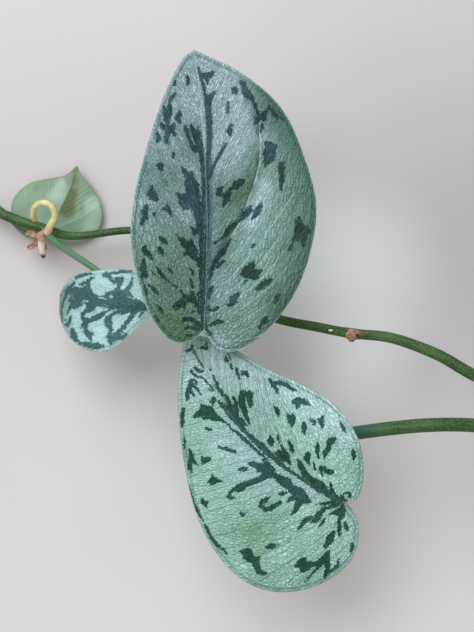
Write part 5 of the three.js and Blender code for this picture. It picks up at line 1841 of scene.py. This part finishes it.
    def add_stalk(self, body: Body, finish: int) -> None:
        """Add the stalk to a stem's piece: a tube with a swollen foot.

        Args:
            body: The stem's piece.
            finish: Which of its finishes the stalk takes.
        """
        shares = np.linspace(0, 1, 8 * self.bends + 1)
        path = smooth_curve(self.stalk_path(), shares)
        foot, tip = self.foot_radius, self.tip_radius
        radii = spread((foot, (foot + 2 * tip) / 3, tip, tip), shares)
        radii = radii * (1 + 0.18 * np.exp(-(shares / 0.06) ** 2))
        tube(body, path, radii, STALK_SIDES, finish, np.exp(-(shares / 0.05) ** 2) * 0.9)


@dataclass
class Vine:
    """A stem with its leaves. The stem and the leaf stalks are one piece."""

    name: str
    points: tuple[Point, ...]
    radii: tuple[float, ...]
    leaves: list[Leaf]
    extra_nodes: tuple[Point, ...] = ()
    spacing: float = 1.1
    sides: int = 18
    scar_reach: float = 1.6
    swell: float = 0.12
    swell_reach: float = 2.6

    def build(self, stem_finish: Material, stalk_finish: Material,
              leaf_finishes: dict[LeafKind, list[Material]]) -> list[Piece]:
        """Build the stem and its blades.

        Args:
            stem_finish: The stem's material.
            stalk_finish: The material of the leaf stalks.
            leaf_finishes: The two materials of each kind of blade.

        Returns:
            The new objects.
        """
        length = sum(math.dist(a, b) for a, b in zip(self.points[:-1], self.points[1:]))
        shares = np.linspace(0, 1, int(length / self.spacing))
        path = smooth_curve(self.points, shares)
        feet = np.array([leaf.foot for leaf in self.leaves] + list(self.extra_nodes))
        gap = np.min(np.linalg.norm(path[:, None] - feet[None], axis=2), axis=1)
        near = np.exp(-(gap / self.scar_reach) ** 2)
        radii = spread(self.radii, shares) * (1 + self.swell * np.exp(-(gap / self.swell_reach) ** 2))
        body = Body()
        tube(body, path, radii, self.sides, 0, near)
        for leaf in self.leaves:
            leaf.add_stalk(body, 1)
        pieces = [body.build(self.name + "_vine", [stem_finish, stalk_finish], "stem_green", self.name)]
        pieces += [leaf.blade(leaf_finishes[leaf.kind]) for leaf in self.leaves]
        return pieces


def long_vine() -> Vine:
    """Describe the long stem and its leaves.

    Returns:
        The stem with its leaves.
    """
    return Vine(
        "stem_long",
        (
            (-24, 5, 86), (-25, 5, 101), (-31, 5, 112), (-46, 4.6, 119.6), (-64, 3.8, 120.6), (-80, 3.2, 117),
            (-96, 3, 99.5), (-110, 3.8, 76), (-125, 11.2, 56), (-136, 17.7, 50), (-149.4, 22.8, 41),
            (-162, 24.2, 33), (-173.5, 26.4, 27), (-185.3, 28.8, 22), (-199, 33.5, 16), (-213, 45.4, 13),
            (-225.2, 56.6, 12), (-237, 60, 12), (-257, 58, 12), (-267, 60.5, 12), (-278, 64, 10),
            (-298.4, 72.3, 5.2), (-317, 76, 3), (-340, 75.5, 1.9), (-362, 70, 1.9), (-382, 67, 2.2),
            (-395, 69, 5.5),
        ),
        (
            2, 2, 2, 1.95, 1.95, 1.95, 1.95, 1.95, 1.9, 1.85, 1.75, 1.65, 1.65, 1.6, 1.5, 1.4, 1.35, 1.3,
            1.4, 1.6, 1.8, 1.75, 1.6, 1.45, 1.3, 1, 0.4,
        ),
        [
            Leaf("leaf_long_1", (-96, 3, 99.5), (-98, 27, 110), 100, -6, length=56),
            Leaf(
                "leaf_large", (-214, 46.5, 13), (-210.5, 25.5, 52), 91.6, 6, -3,
                outlines=(LARGE_LEFT, LARGE_RIGHT), fold=0.2, arch=0.005, droop=16, sway=0.024, wave=0.7,
                phase=0.6, bends=8, rise=0.2, hang=0.5, kind=LeafKind.LARGE, detail=FINE,
                marks=LARGE_MARKS, band_and_sheen=LARGE_BAND_AND_SHEEN, painted_shading=LARGE_PAINTED_SHADING, crease=LARGE_CREASE,
            ),
            Leaf(
                "leaf_small", (-266.5, 59, 12), (-226.9, 32, 31), 173, 12, 3,
                way=((-261.7, 54.6, 14), (-256.8, 51.3, 17), (-249.3, 46.5, 21), (-238, 38.6, 26)),
                outlines=(SMALL_LEFT, SMALL_RIGHT), fold=0.16, arch=0.008, droop=72, sway=-0.03, wave=0.3,
                bends=8, foot_radius=1.35, tip_radius=1.1, hang=0.06, kind=LeafKind.SMALL,
                detail=MIDDLING, marks=SMALL_MARKS, gaps=SMALL_GAPS, painted_shading=SMALL_PAINTED_SHADING,
            ),
            Leaf(
                "leaf_turned", (-298.4, 72.3, 5.2), (-269.3, 58.6, 3.4), 64, 8, 180,
                way=((-289.7, 70.6, 5), (-284.4, 68.2, 4.8), (-278, 61.7, 5), (-273, 58.4, 5.2)),
                outlines=(TURNED_LEFT, TURNED_RIGHT), fold=0.22, arch=0.004, droop=-14, sway=-0.05,
                wave=0.4, bends=9, hang=0, kind=LeafKind.TURNED, detail=MIDDLING, painted_shading=TURNED_PAINTED_SHADING,
                crease=TURNED_KEEL, crease_depth=-1.5, crease_width=3,
            ),
            Leaf("leaf_long_2", (-330, 76.4, 2.6), (-331, 96, 26), 118, 4, length=50),
            Leaf("leaf_long_3", (-352, 73, 1.9), (-350, 50, 25), 236, 6, length=44),
            Leaf("leaf_long_4", (-374, 68, 1.9), (-386, 82, 18), 150, 8, length=32),
        ],
        extra_nodes=((-162, 24.2, 33),),
    )


def short_vine() -> Vine:
    """Describe the short thick stem and its leaves.

    Returns:
        The stem with its leaves.
    """
    return Vine(
        "stem_short",
        (
            (-27, -7, 86), (-28, -7, 101), (-34, -7, 112), (-48, -6.5, 119.8), (-64, -6.2, 120.8),
            (-80, -6, 116.5), (-95, -5.6, 98), (-109, -5, 73), (-124.5, -4.8, 52), (-140.6, -5.6, 44),
            (-161, -8.8, 36), (-172, -11.7, 30), (-184, -16, 22), (-195.5, -23, 14), (-203, -30, 10),
        ),
        (2.1, 2.1, 2.1, 2.1, 2.1, 2.1, 2.15, 2.2, 2.25, 2.3, 2.3, 2.1, 1.7, 1.1, 0.4),
        [
            Leaf("leaf_short_1", (-102, -5.3, 86), (-103, -28, 95), 274, -10, length=56),
            Leaf(
                "leaf_lower", (-180.5, -14.7, 24), (-165.8, -29.8, 49), 133.4, 2, 2,
                outlines=(LOWER_LEFT, LOWER_RIGHT), fold=0.16, arch=0.0045, droop=16, sway=-0.1, wave=0.8,
                phase=2, bends=8, rise=0.2, hang=0.5, kind=LeafKind.LOWER, detail=FINE,
                marks=LOWER_MARKS, band_and_sheen=LOWER_BAND_AND_SHEEN, painted_shading=LOWER_PAINTED_SHADING, vein_rise=(0.32, 1.15),
            ),
        ],
    )


def front_vine() -> Vine:
    """Describe the stem on the other side of the pot and its leaves.

    Returns:
        The stem with its leaves.
    """
    return Vine(
        "stem_front",
        (
            (16, -20, 86), (16.5, -21, 101), (21, -27, 112), (29, -36, 119), (40.5, -49, 120.6),
            (50, -61, 117.5), (61, -74, 100), (70, -88, 70), (80, -101, 38), (94, -113, 14),
            (112, -122, 4.4), (135, -128, 1.9), (158, -128, 1.9), (180, -121, 2.4), (193, -116, 6),
        ),
        (1.9, 1.9, 1.9, 1.9, 1.9, 1.8, 1.7, 1.65, 1.6, 1.55, 1.5, 1.4, 1.25, 1, 0.4),
        [
            Leaf("leaf_front_1", (61, -74, 100), (39, -92, 106), 226, -8, length=54),
            Leaf("leaf_front_2", (70, -88, 70), (93, -85, 84), 350, -4, length=56),
            Leaf("leaf_front_3", (94, -113, 14), (80, -133, 36), 240, 0, length=52),
            Leaf("leaf_front_4", (124, -126, 2.8), (138, -107, 30), 46, 4, length=50),
            Leaf("leaf_front_5", (152, -129, 2), (160, -148, 25), 296, 4, length=42),
            Leaf("leaf_front_6", (176, -123, 2.1), (190, -110, 19), 24, 8, length=32),
        ],
    )


@dataclass(frozen=True)
class Crown:
    """The short shoots in the pot, and leaves that climb round them like a spiral stair."""

    shoots: tuple[tuple[float, float], ...] = ((20, 21), (92, 20), (146, 13), (232, 20), (345, 15))
    shoot_radius: float = 1.7
    taper: tuple[float, ...] = (1, 1, 0.85, 0.5)
    lean: float = 0.16
    foot: float = 86
    soil_level: float = 102
    leaves: int = 21
    first_turn: float = 80
    step_turn: float = 137.5
    notch_height: float = 127
    height_step: float = 2.9
    notch_radius: float = 52
    radius_step: float = 1.45
    length: float = 72
    length_step: float = 1
    pitch: float = -16
    pitch_step: float = 1.4
    stalk_rise: float = 22

    def shoot_point(self, shoot: tuple[float, float], z: float) -> Point:
        """Find where a shoot is at a height: it leans outwards as it rises.

        Args:
            shoot: Its direction in degrees and its distance from the middle.
            z: The height.

        Returns:
            The place.
        """
        radius = shoot[1] + self.lean * max(0, z - self.soil_level)
        turn = math.radians(shoot[0])
        return (radius * math.cos(turn), radius * math.sin(turn), z)

    def vines(self) -> list[Vine]:
        """Describe each shoot with its own leaves.

        Returns:
            One vine for each shoot.
        """
        leaves: dict[tuple[float, float], list[Leaf]] = {shoot: [] for shoot in self.shoots}
        for i in range(self.leaves):
            turn = (self.first_turn + i * self.step_turn + 5 * jitter(i, 1)) % 360
            z = self.notch_height + i * self.height_step
            radius = self.notch_radius - i * self.radius_step
            shoot = min(self.shoots, key=lambda s: abs((s[0] - turn + 540) % 360 - 180))
            leaves[shoot].append(Leaf(
                f"leaf_crown_{i + 1}", self.shoot_point(shoot, z - self.stalk_rise),
                (radius * math.cos(math.radians(turn)), radius * math.sin(math.radians(turn)), z),
                turn + 15 * jitter(i, 2), self.pitch + i * self.pitch_step, 9 * jitter(i, 3),
                length=(self.length - i * self.length_step) * (1 + 0.08 * jitter(i, 4)),
                droop=34 + 6 * jitter(i, 5), phase=3 * jitter(i, 6),
                left_width=1 + 0.1 * jitter(i, 7), right_width=1 - 0.1 * jitter(i, 7),
            ))
        made = []
        for i, shoot in enumerate(self.shoots):
            top = max(leaf.foot[2] for leaf in leaves[shoot]) + 4
            heights = (self.foot, self.soil_level, (self.soil_level + top) / 2, top)
            radii = tuple(share * self.shoot_radius for share in self.taper)
            points = tuple(self.shoot_point(shoot, z) for z in heights)
            made.append(Vine(f"shoot_{i + 1}", points, radii, leaves[shoot]))
        return made


@dataclass(frozen=True)
class ClayPot:
    """The plain clay pot with its rim band and drain holes."""

    base_radius: float = 46
    body_top_radius: float = 61.5
    rim_radius: float = 68
    height: float = 118
    band_height: float = 27
    wall: float = 5.5
    floor: float = 9
    edge: float = 1.6
    drain_radius: float = 4.5
    drain_circle: float = 22
    drains: int = 4
    segments: int = 144
    drill_sides: int = 32
    drill_past: float = 5.0

    def profile(self) -> list[Point]:
        """List the profile from the middle of the underside, up the outside and down the inside.

        Returns:
            The radius and the height of each point.
        """
        band_foot = self.height - self.band_height
        corners = [
            ((0, 0), 0), ((self.base_radius, 0), self.edge), ((self.body_top_radius, band_foot), 0.8),
            ((self.rim_radius - 2, band_foot), self.edge), ((self.rim_radius, self.height), self.edge * 1.4),
            ((self.rim_radius - self.wall, self.height), self.edge),
            ((self.body_top_radius - self.wall + 1, band_foot), 2.5),
            ((self.base_radius - self.wall, self.floor), 3), ((0, self.floor), 0),
        ]
        line: list[Point] = [corners[0][0]]
        for (before, _), (corner, size), (after, _) in zip(corners[:-2], corners[1:-1], corners[2:]):
            here = np.array(corner, float)
            start = here + (np.array(before) - here) / math.dist(before, corner) * size
            end = here + (np.array(after) - here) / math.dist(after, corner) * size
            for t in np.linspace(0, 1, 5):
                line.append(tuple((1 - t) ** 2 * start + 2 * t * (1 - t) * here + t * t * end))
        line.append(corners[-1][0])
        return line

    def build(self, finish: Material) -> Piece:
        """Build the pot.

        Args:
            finish: Its material.

        Returns:
            The new object.
        """
        line = self.profile()
        turns = np.linspace(0, 2 * math.pi, self.segments, endpoint=False)
        inner = line[1:-1]
        points = [(r * math.cos(a), r * math.sin(a), z) for r, z in inner for a in turns]
        n = self.segments
        faces = ring_faces(len(inner), n)
        faces.append(tuple(reversed(range(n))))
        faces.append(tuple((len(inner) - 1) * n + k for k in range(n)))
        body = Body()
        body.add(np.array(points), faces)
        pot = body.build("clay_pot", [finish], "pot_clay", "pot")
        for i in range(self.drains):
            turn = (i + 0.5) / self.drains * 2 * math.pi
            drill = self.drill(self.drain_circle * math.cos(turn), self.drain_circle * math.sin(turn))
            cut = pot.modifiers.new("drain", "BOOLEAN")
            cut.operation, cut.solver, cut.object = "DIFFERENCE", "EXACT", drill
            with bpy.context.temp_override(object=pot, active_object=pot):
                bpy.ops.object.modifier_apply(modifier=cut.name)
            bpy.data.objects.remove(drill)
        return pot

    def drill(self, x: float, y: float) -> Piece:
        """Make the round body that cuts one drain hole at x and y.

        Args:
            x: The hole's place across.
            y: The hole's place along.

        Returns:
            The round body.
        """
        n = self.drill_sides
        turns = np.linspace(0, 2 * math.pi, n, endpoint=False)
        ring = [(x + self.drain_radius * math.cos(a), y + self.drain_radius * math.sin(a)) for a in turns]
        levels = (-self.drill_past, self.floor + self.drill_past)
        points = [(px * MM, py * MM, z * MM) for z in levels for px, py in ring]
        mesh = bpy.data.meshes.new("drill")
        mesh.from_pydata(points, [], ring_faces(2, n) + [tuple(reversed(range(n))), tuple(range(n, 2 * n))])
        return put_in_scene("drill", mesh)


@dataclass(frozen=True)
class PottingMix:
    """The potting mix: an uneven bed, with bark chips and perlite on it."""

    level: float = 102
    radius: float = 57.4
    under: tuple[Point, ...] = ((40.0, 10.0), (56.0, 90.0))
    rings: int = 70
    spokes: int = 160
    chips: int = 330
    grains: int = 170
    seed: int = 11

    def height(self, x: np.ndarray, y: np.ndarray) -> np.ndarray:
        """Work out how high the bed is at places on it.

        Args:
            x: The places across.
            y: The places along.

        Returns:
            The heights.
        """
        crumb = np.sin(x * 0.31 + 1) * np.cos(y * 0.37) + 0.6 * np.sin(x * 0.83 - y * 0.71)
        fine = np.sin(x * 2.1 + y * 1.3) * np.cos(y * 2.6 - x * 0.7)
        fine = fine + np.sin(x * 4.3 - 1) * np.sin(y * 3.9 + 2)
        return self.level + 0.9 * crumb + 0.3 * fine

    def bed(self, finish: Material) -> Piece:
        """Build the bed as one closed body.

        Args:
            finish: Its material.

        Returns:
            The new object.
        """
        turns = np.linspace(0, 2 * math.pi, self.spokes, endpoint=False)
        radii = np.linspace(self.radius, self.radius / self.rings, self.rings)
        points = [(r * math.cos(a), r * math.sin(a), z) for r, z in self.under for a in turns]
        for r in radii:
            x, y = r * np.cos(turns), r * np.sin(turns)
            z = self.height(x, y) - 1.6 * np.clip((r - self.radius + 2) / 2, 0, 1)
            points += list(zip(x, y, z))
        points.append((0.0, 0.0, float(self.height(np.array(0.0), np.array(0.0)))))
        n, rows = self.spokes, len(self.under) + self.rings
        faces = ring_faces(rows, n)
        faces += [((rows - 1) * n + k, (rows - 1) * n + (k + 1) % n, rows * n) for k in range(n)]
        faces.append(tuple(reversed(range(n))))
        body = Body()
        body.add(np.array(points), faces)
        return body.build("potting_bed", [finish], "potting_soil", "soil")

    def scatter(self, name: str, finishes: list[Material], count: int, low: float, high: float,
                flat: float, seed: int) -> Piece:
        """Build loose bits that lie on the bed, joined into one piece.

        Args:
            name: The piece's name.
            finishes: Its materials, taken in turn.
            count: How many bits there are.
            low: The smallest size.
            high: The largest size.
            flat: Their thickness as a share of their size.
            seed: The seed of their places.

        Returns:
            The new object.
        """
        rng = np.random.default_rng(seed)
        ball = np.array([(x, y, z) for x in (-1, 1) for y in (-1, 1) for z in (-1, 1)], float)
        more = np.array([(1.5, 0, 0), (-1.5, 0, 0), (0, 1.5, 0), (0, -1.5, 0), (0, 0, 1.3), (0, 0, -1.3)])
        form = np.vstack([ball, more])
        sides = [
            (4, 6, 7, 5, 8), (0, 1, 3, 2, 9), (2, 3, 7, 6, 10),
            (0, 4, 5, 1, 11), (1, 5, 7, 3, 12), (0, 2, 6, 4, 13),
        ]
        faces = [(ring[k], ring[(k + 1) % 4], ring[4]) for ring in sides for k in range(4)]
        body = Body()
        for i in range(count):
            r, a = (self.radius - 3.5) * math.sqrt(rng.uniform()), rng.uniform(0, 2 * math.pi)
            x, y = r * math.cos(a), r * math.sin(a)
            size = rng.uniform(low, high)
            scale = np.array([size, size * rng.uniform(0.5, 0.9), size * flat]) / 2.6
            bit = form * scale * rng.uniform(0.8, 1.2, (len(form), 1))
            turn, tilt = rng.uniform(0, 2 * math.pi), rng.normal(0, 0.3)
            cos, sin = math.cos(turn), math.sin(turn)
            spin = np.array([[cos, -sin, 0], [sin, cos, 0], [0, 0, 1]])
            cos, sin = math.cos(tilt), math.sin(tilt)
            lean = np.array([[1, 0, 0], [0, cos, -sin], [0, sin, cos]])
            z = float(self.height(np.array(x), np.array(y))) + 0.25 * size * flat
            body.add(bit @ (spin @ lean).T + (x, y, z), faces, i % len(finishes))
        return body.build(name, finishes, "potting_soil")


@dataclass(frozen=True)
class CurledRoot:
    """The young root that leaves the far node and curls once round above the stem."""

    start: Point = (-266.3, 59.2, 12.6)
    first_turn: int = -46
    last_turn: int = 216
    centre: tuple[float, float] = (-267.2, 65.1)
    ring: float = 4.1
    height: float = 16.0
    arch: float = 2.2
    dip: float = 5.5
    radius: float = 1.14
    taper: float = 0.18
    swell: float = 0.35
    swell_share: float = 0.1
    sides: int = 18
    wobble: float = 0.05

    def build(self, finish: Material) -> Piece:
        """Build the root.

        Args:
            finish: Its material.

        Returns:
            The new object.
        """
        points = [self.start]
        for angle in np.linspace(self.first_turn, self.last_turn, 11):
            turn, share = math.radians(angle), (angle - self.first_turn) / (self.last_turn - self.first_turn)
            x, y = self.centre[0] + self.ring * math.cos(turn), self.centre[1] + self.ring * math.sin(turn)
            points.append((x, y, self.height + self.arch * math.sin(math.pi * share) - self.dip * share ** 3))
        shares = np.linspace(0, 1, 90)
        radii = self.radius - self.taper * shares
        radii += self.swell * np.exp(-(shares / self.swell_share) ** 2)
        body = Body()
        tube(body, smooth_curve(tuple(points), shares), radii, self.sides, wobble=self.wobble)
        return body.build("young_curled_root", [finish], "root_cream", "curled_root")


@dataclass(frozen=True)
class Scrap:
    """One dry scrap of sheath: a thin curled strip that tapers."""

    start: Point
    end: Point
    width: float
    curl: float = 0.5
    twist: float = 0.0
    lift: float = 0.8
    half_thickness: float = 0.11

    def add(self, body: Body) -> None:
        """Add the strip to a piece.

        Args:
            body: The piece.
        """
        a, b = np.array(self.start, float), np.array(self.end, float)
        run = b - a
        length = float(np.linalg.norm(run))
        forward = run / length
        across = np.cross(forward, (0, 0, 1))
        across /= np.linalg.norm(across)
        up = np.cross(across, forward)
        us, vs = np.linspace(0, 1, 26), np.linspace(-1, 1, 13)
        points, grow, runs = [], [], []
        for u in us:
            ragged = 1 + 0.16 * math.sin(u * 17 + self.curl * 9)
            half = self.width / 2 * (math.sin(math.pi * (0.08 + 0.86 * u)) ** 0.7) * ragged
            turn = self.twist * (u - 0.5)
            side = across * math.cos(turn) + up * math.sin(turn)
            over = up * math.cos(turn) - across * math.sin(turn)
            middle = a + run * u + over * self.lift * math.sin(math.pi * u)
            for v in vs:
                bend = self.curl * half * (v * v - 0.4) + 0.12 * math.sin(v * 9 + u * 14)
                bend += 0.1 * math.sin(u * 31)
                points.append(middle + side * half * v + over * bend)
                grow.append((half * v, 0.0, u * length))
                runs.append(u)
        n, m = len(us), len(vs)
        quads = np.array([
            (i * m + k, i * m + k + 1, (i + 1) * m + k + 1, (i + 1) * m + k)
            for i in range(n - 1) for k in range(m - 1)
        ])
        place = np.array(points)
        normals = face_normals(place, np.vstack([quads[:, [0, 1, 2]], quads[:, [0, 2, 3]]]))
        count = len(place)
        border = list(range(m)) + [i * m + m - 1 for i in range(1, n)]
        border += [(n - 1) * m + k for k in range(m - 2, -1, -1)] + [i * m for i in range(n - 2, 0, -1)]
        faces = [tuple(q) for q in quads.tolist()]
        faces += [tuple(i + count for i in reversed(q)) for q in quads.tolist()]
        faces += [(a, b, b + count, a + count) for a, b in zip(border, border[-1:] + border)]
        shell = np.vstack([place + normals * self.half_thickness, place - normals * self.half_thickness])
        body.add(
            shell, faces, 0, grow=np.tile(np.array(grow), (2, 1)), run=np.tile(np.array(runs), 2),
            node=np.zeros(2 * count),
        )


@dataclass(frozen=True)
class DrySheath:
    """Dry brown sheath scraps that cling to a node."""

    name: str
    node: str
    scraps: tuple[Scrap, ...]
    stub: tuple[Point, ...] = ()
    stub_radii: tuple[float, ...] = ()
    stub_sides: int = 16
    stub_wobble: float = 0.12

    def build(self, finishes: list[Material]) -> Piece:
        """Build the scraps and the dead root stub as one piece.

        Args:
            finishes: The materials of the scraps and of the stub.

        Returns:
            The new object.
        """
        body = Body()
        for scrap in self.scraps:
            scrap.add(body)
        if self.stub:
            shares = np.linspace(0, 1, 60)
            path, radii = smooth_curve(self.stub, shares), spread(self.stub_radii, shares)
            tube(body, path, radii, self.stub_sides, 1, wobble=self.stub_wobble)
        return body.build(self.name, finishes if self.stub else finishes[:1], "sheath_dry", self.node)


FAR_SHEATH = DrySheath(
    "far_node_sheath", "sheath_far",
    (
        Scrap((-269.2, 57.9, 10.6), (-274.9, 60.0, 8.8), 2.7, 0.7, 0.4, 0.5),
        Scrap((-270.2, 57.6, 9.6), (-271.6, 54.9, 7.6), 1.5, 0.6, -0.5, 0.3),
        Scrap((-270.6, 54.9, 7.8), (-274.3, 54.3, 6.8), 1.9, 1.0, 0.7, 0.5),
        Scrap((-267.9, 55.8, 9.4), (-267.4, 53.4, 8.0), 1.1, 0.7, -0.6, 0.2),
    ),
    (
        (-267.2, 60.9, 12.6), (-268.1, 59.4, 11.6), (-268.7, 57.9, 10.6), (-268.8, 56.4, 9.8),
        (-269.0, 54.8, 9.2), (-268.7, 53.0, 8.6), (-268.5, 51.4, 8.0), (-268.4, 50.6, 7.8),
    ),
    (1.3, 1.45, 1.6, 1.35, 1.2, 1.2, 0.85, 0.5),
)
NEAR_SHEATH = DrySheath("near_node_sheath", "sheath_near", (
    Scrap((-163.5, 24.6, 35.4), (-161.4, 21.5, 34.6), 2.4, 0.9, 0.5, 0.6),
    Scrap((-162.9, 25.4, 35.6), (-160.6, 23.2, 36.0), 1.9, 0.9, -0.7, 0.7),
    Scrap((-162.2, 23.6, 35.8), (-160.4, 22.2, 35.2), 1.4, 0.9, 0.9, 0.6),
    Scrap((-161.2, 25.0, 36.0), (-158.9, 24.2, 36.6), 1.3, 0.8, 0.3, 0.3),
))


@dataclass(frozen=True)
class Studio:
    """The camera of the photograph, a plain pale surface and soft window light."""

    eye: Point = (-200, 30, 450)
    lens: float = 71.2
    sensor: float = 36
    floor_size: float = 2.4
    window_turn: float = 122
    window_rise: float = 50
    window_distance: float = 1.25
    window_width: float = 1.1
    window_height: float = 0.9
    window_power: float = 12.5
    fill_turn: float = 200
    fill_rise: float = 75
    fill_size: float = 1.6
    fill_power: float = 2.5
    sky: float = 0.72

    def camera(self) -> None:
        """Place the camera, which looks straight down."""
        data = bpy.data.cameras.new("photo_camera")
        data.sensor_width, data.lens = self.sensor, self.lens
        data.clip_start, data.clip_end = 0.01, 20
        camera = put_in_scene("photo_camera", data)
        camera.location = [v * MM for v in self.eye]
        bpy.context.scene.camera = camera

    def lamp(self, name: str, turn: float, rise: float, size: tuple[float, float], power: float,
             tint: str) -> None:
        """Place one soft lamp that faces the leaves.

        Args:
            name: The lamp's name.
            turn: Its direction from the leaves, in degrees.
            rise: Its height above them, in degrees.
            size: Its width and height in metres.
            power: Its power in watts.
            tint: Its colour on a screen.
        """
        data = bpy.data.lights.new(name, "AREA")
        data.shape, data.size, data.size_y = "RECTANGLE", size[0], size[1]
        data.energy, data.color = power, srgb(tint)[:3]
        lamp = put_in_scene(name, data)
        aim = Vector((self.eye[0] * MM, self.eye[1] * MM, 0))
        a, e = math.radians(turn), math.radians(rise)
        back = Vector((math.cos(a) * math.cos(e), math.sin(a) * math.cos(e), math.sin(e)))
        lamp.location = aim + back * self.window_distance
        lamp.rotation_euler = (-back).to_track_quat("-Z", "Y").to_euler()

    def build(self) -> None:
        """Build the camera, the surface and the light."""
        self.camera()
        window = (self.window_width, self.window_height)
        self.lamp("window", self.window_turn, self.window_rise, window, self.window_power, "#eef5ff")
        fill = (self.fill_size, self.fill_size)
        self.lamp("ceiling_fill", self.fill_turn, self.fill_rise, fill, self.fill_power, "#fff6ee")
        world = bpy.data.worlds.new("room")
        world.use_nodes = True
        back = world.node_tree.nodes["Background"]
        back.inputs["Color"].default_value = srgb("#e6e9ec")
        back.inputs["Strength"].default_value = self.sky
        bpy.context.scene.world = world
        half = self.floor_size / 2
        mesh = bpy.data.meshes.new("pale_floor")
        corners = [(-half, -half, 0), (half, -half, 0), (half, half, 0), (-half, half, 0)]
        mesh.from_pydata(corners, [], [(0, 1, 2, 3)])
        mesh.materials.append(PaleSurface().make())
        floor = put_in_scene("pale_floor", mesh)
        bpy.context.scene.view_settings.view_transform = "Standard"


def main() -> None:
    """Build the plant, the pot and the studio."""
    logging.basicConfig(level=logging.INFO, format="%(message)s")
    Studio().build()
    back = LeafBack().make()
    large = SilverLeaf(
        "large_silver_leaf", "#94b9b1", "#d6f1f7", "#62815a", dark="#194135", dark_streak_and_sheen="#3e626a",
        net_and_shade="#3f6254", line="#e0f4ee", rim="#a9c8c2", line_share=0.85, emboss=0.52, crinkle=0.6,
        margin=0.75, calm=0.2,
    ).make()
    lower = SilverLeaf(
        "lower_silver_leaf", "#c4efe4", "#e2fffd", "#8fba90", dark="#1b5039", dark_streak_and_sheen="#33645f",
        slate="#a3c0cb", net_and_shade="#4f8270", line="#4f8068", line_share=0.5, line_side=-1.0, line_often=1.6,
        line_width=0.07, band_share=0.45, band_edge=2.8, band_core=-2.4, emboss=0.46, crinkle=0.46,
        streaks=0.12,
    ).make()
    small = SilverLeaf(
        "small_silver_leaf", "#c4e4e2", "#d0f8ec", "#8aa898", dark="#36645f", dark_streak_and_sheen="#547d80",
        slate="#3d6462", net_and_shade="#5f8f88", line_share=0.06, ragged=0.7, emboss=0.2, crinkle=0.26, streaks=0.2,
        rib_share=0.0, relief=0.06,
    ).make()
    plain = SilverLeaf("silver_leaf", "#a8ccc0", "#d6eeee", "#64866a", line="#d0e8e0").make()
    finishes = {
        LeafKind.LARGE: [large, back],
        LeafKind.LOWER: [lower, back],
        LeafKind.SMALL: [small, back],
        LeafKind.TURNED: [plain, back],
        LeafKind.PLAIN: [plain, back],
    }
    stem = GreenStem(spots=STEM_SPOTS).make()
    stalk = GreenStem("blue_green_stalk", green="#5d8467", deep="#3f6a46", pale="#8fb59c", specks=0.5).make()
    pieces: list[Piece] = []
    for vine in [long_vine(), short_vine(), front_vine(), *Crown().vines()]:
        pieces += vine.build(stem, stalk, finishes)
    pieces.append(ClayPot().build(FiredClay().make()))
    mix = PottingMix()
    bark = Crumbs("bark_chip", "#5a3d29", "#35241a", 2.0).make()
    pale_bark = Crumbs("pale_bark_chip", "#7d5a3d", "#4a3424", 2.0).make()
    pieces.append(mix.bed(Crumbs("peat", "#3a281c", "#20160f", 1.2).make()))
    pieces.append(mix.scatter(
        "bark_chips", [bark, pale_bark], mix.chips, low=2.5, high=7.5, flat=0.4, seed=mix.seed,
    ))
    perlite = Crumbs("perlite", "#e4e0d8", "#bdb7ac", 0.8).make()
    pieces.append(mix.scatter(
        "perlite_grains", [perlite], mix.grains, low=1.2, high=3.0, flat=0.8, seed=mix.seed + 1,
    ))
    pieces.append(CurledRoot().build(YoungRoot().make()))
    sheath_finishes = [DryPaper().make(), WitheredRoot().make()]
    pieces += [FAR_SHEATH.build(sheath_finishes), NEAR_SHEATH.build(sheath_finishes)]
    for piece in pieces:
        LOG.info("%s: %d faces", piece.name, len(piece.data.polygons))


if __name__ == "__main__":
    main()
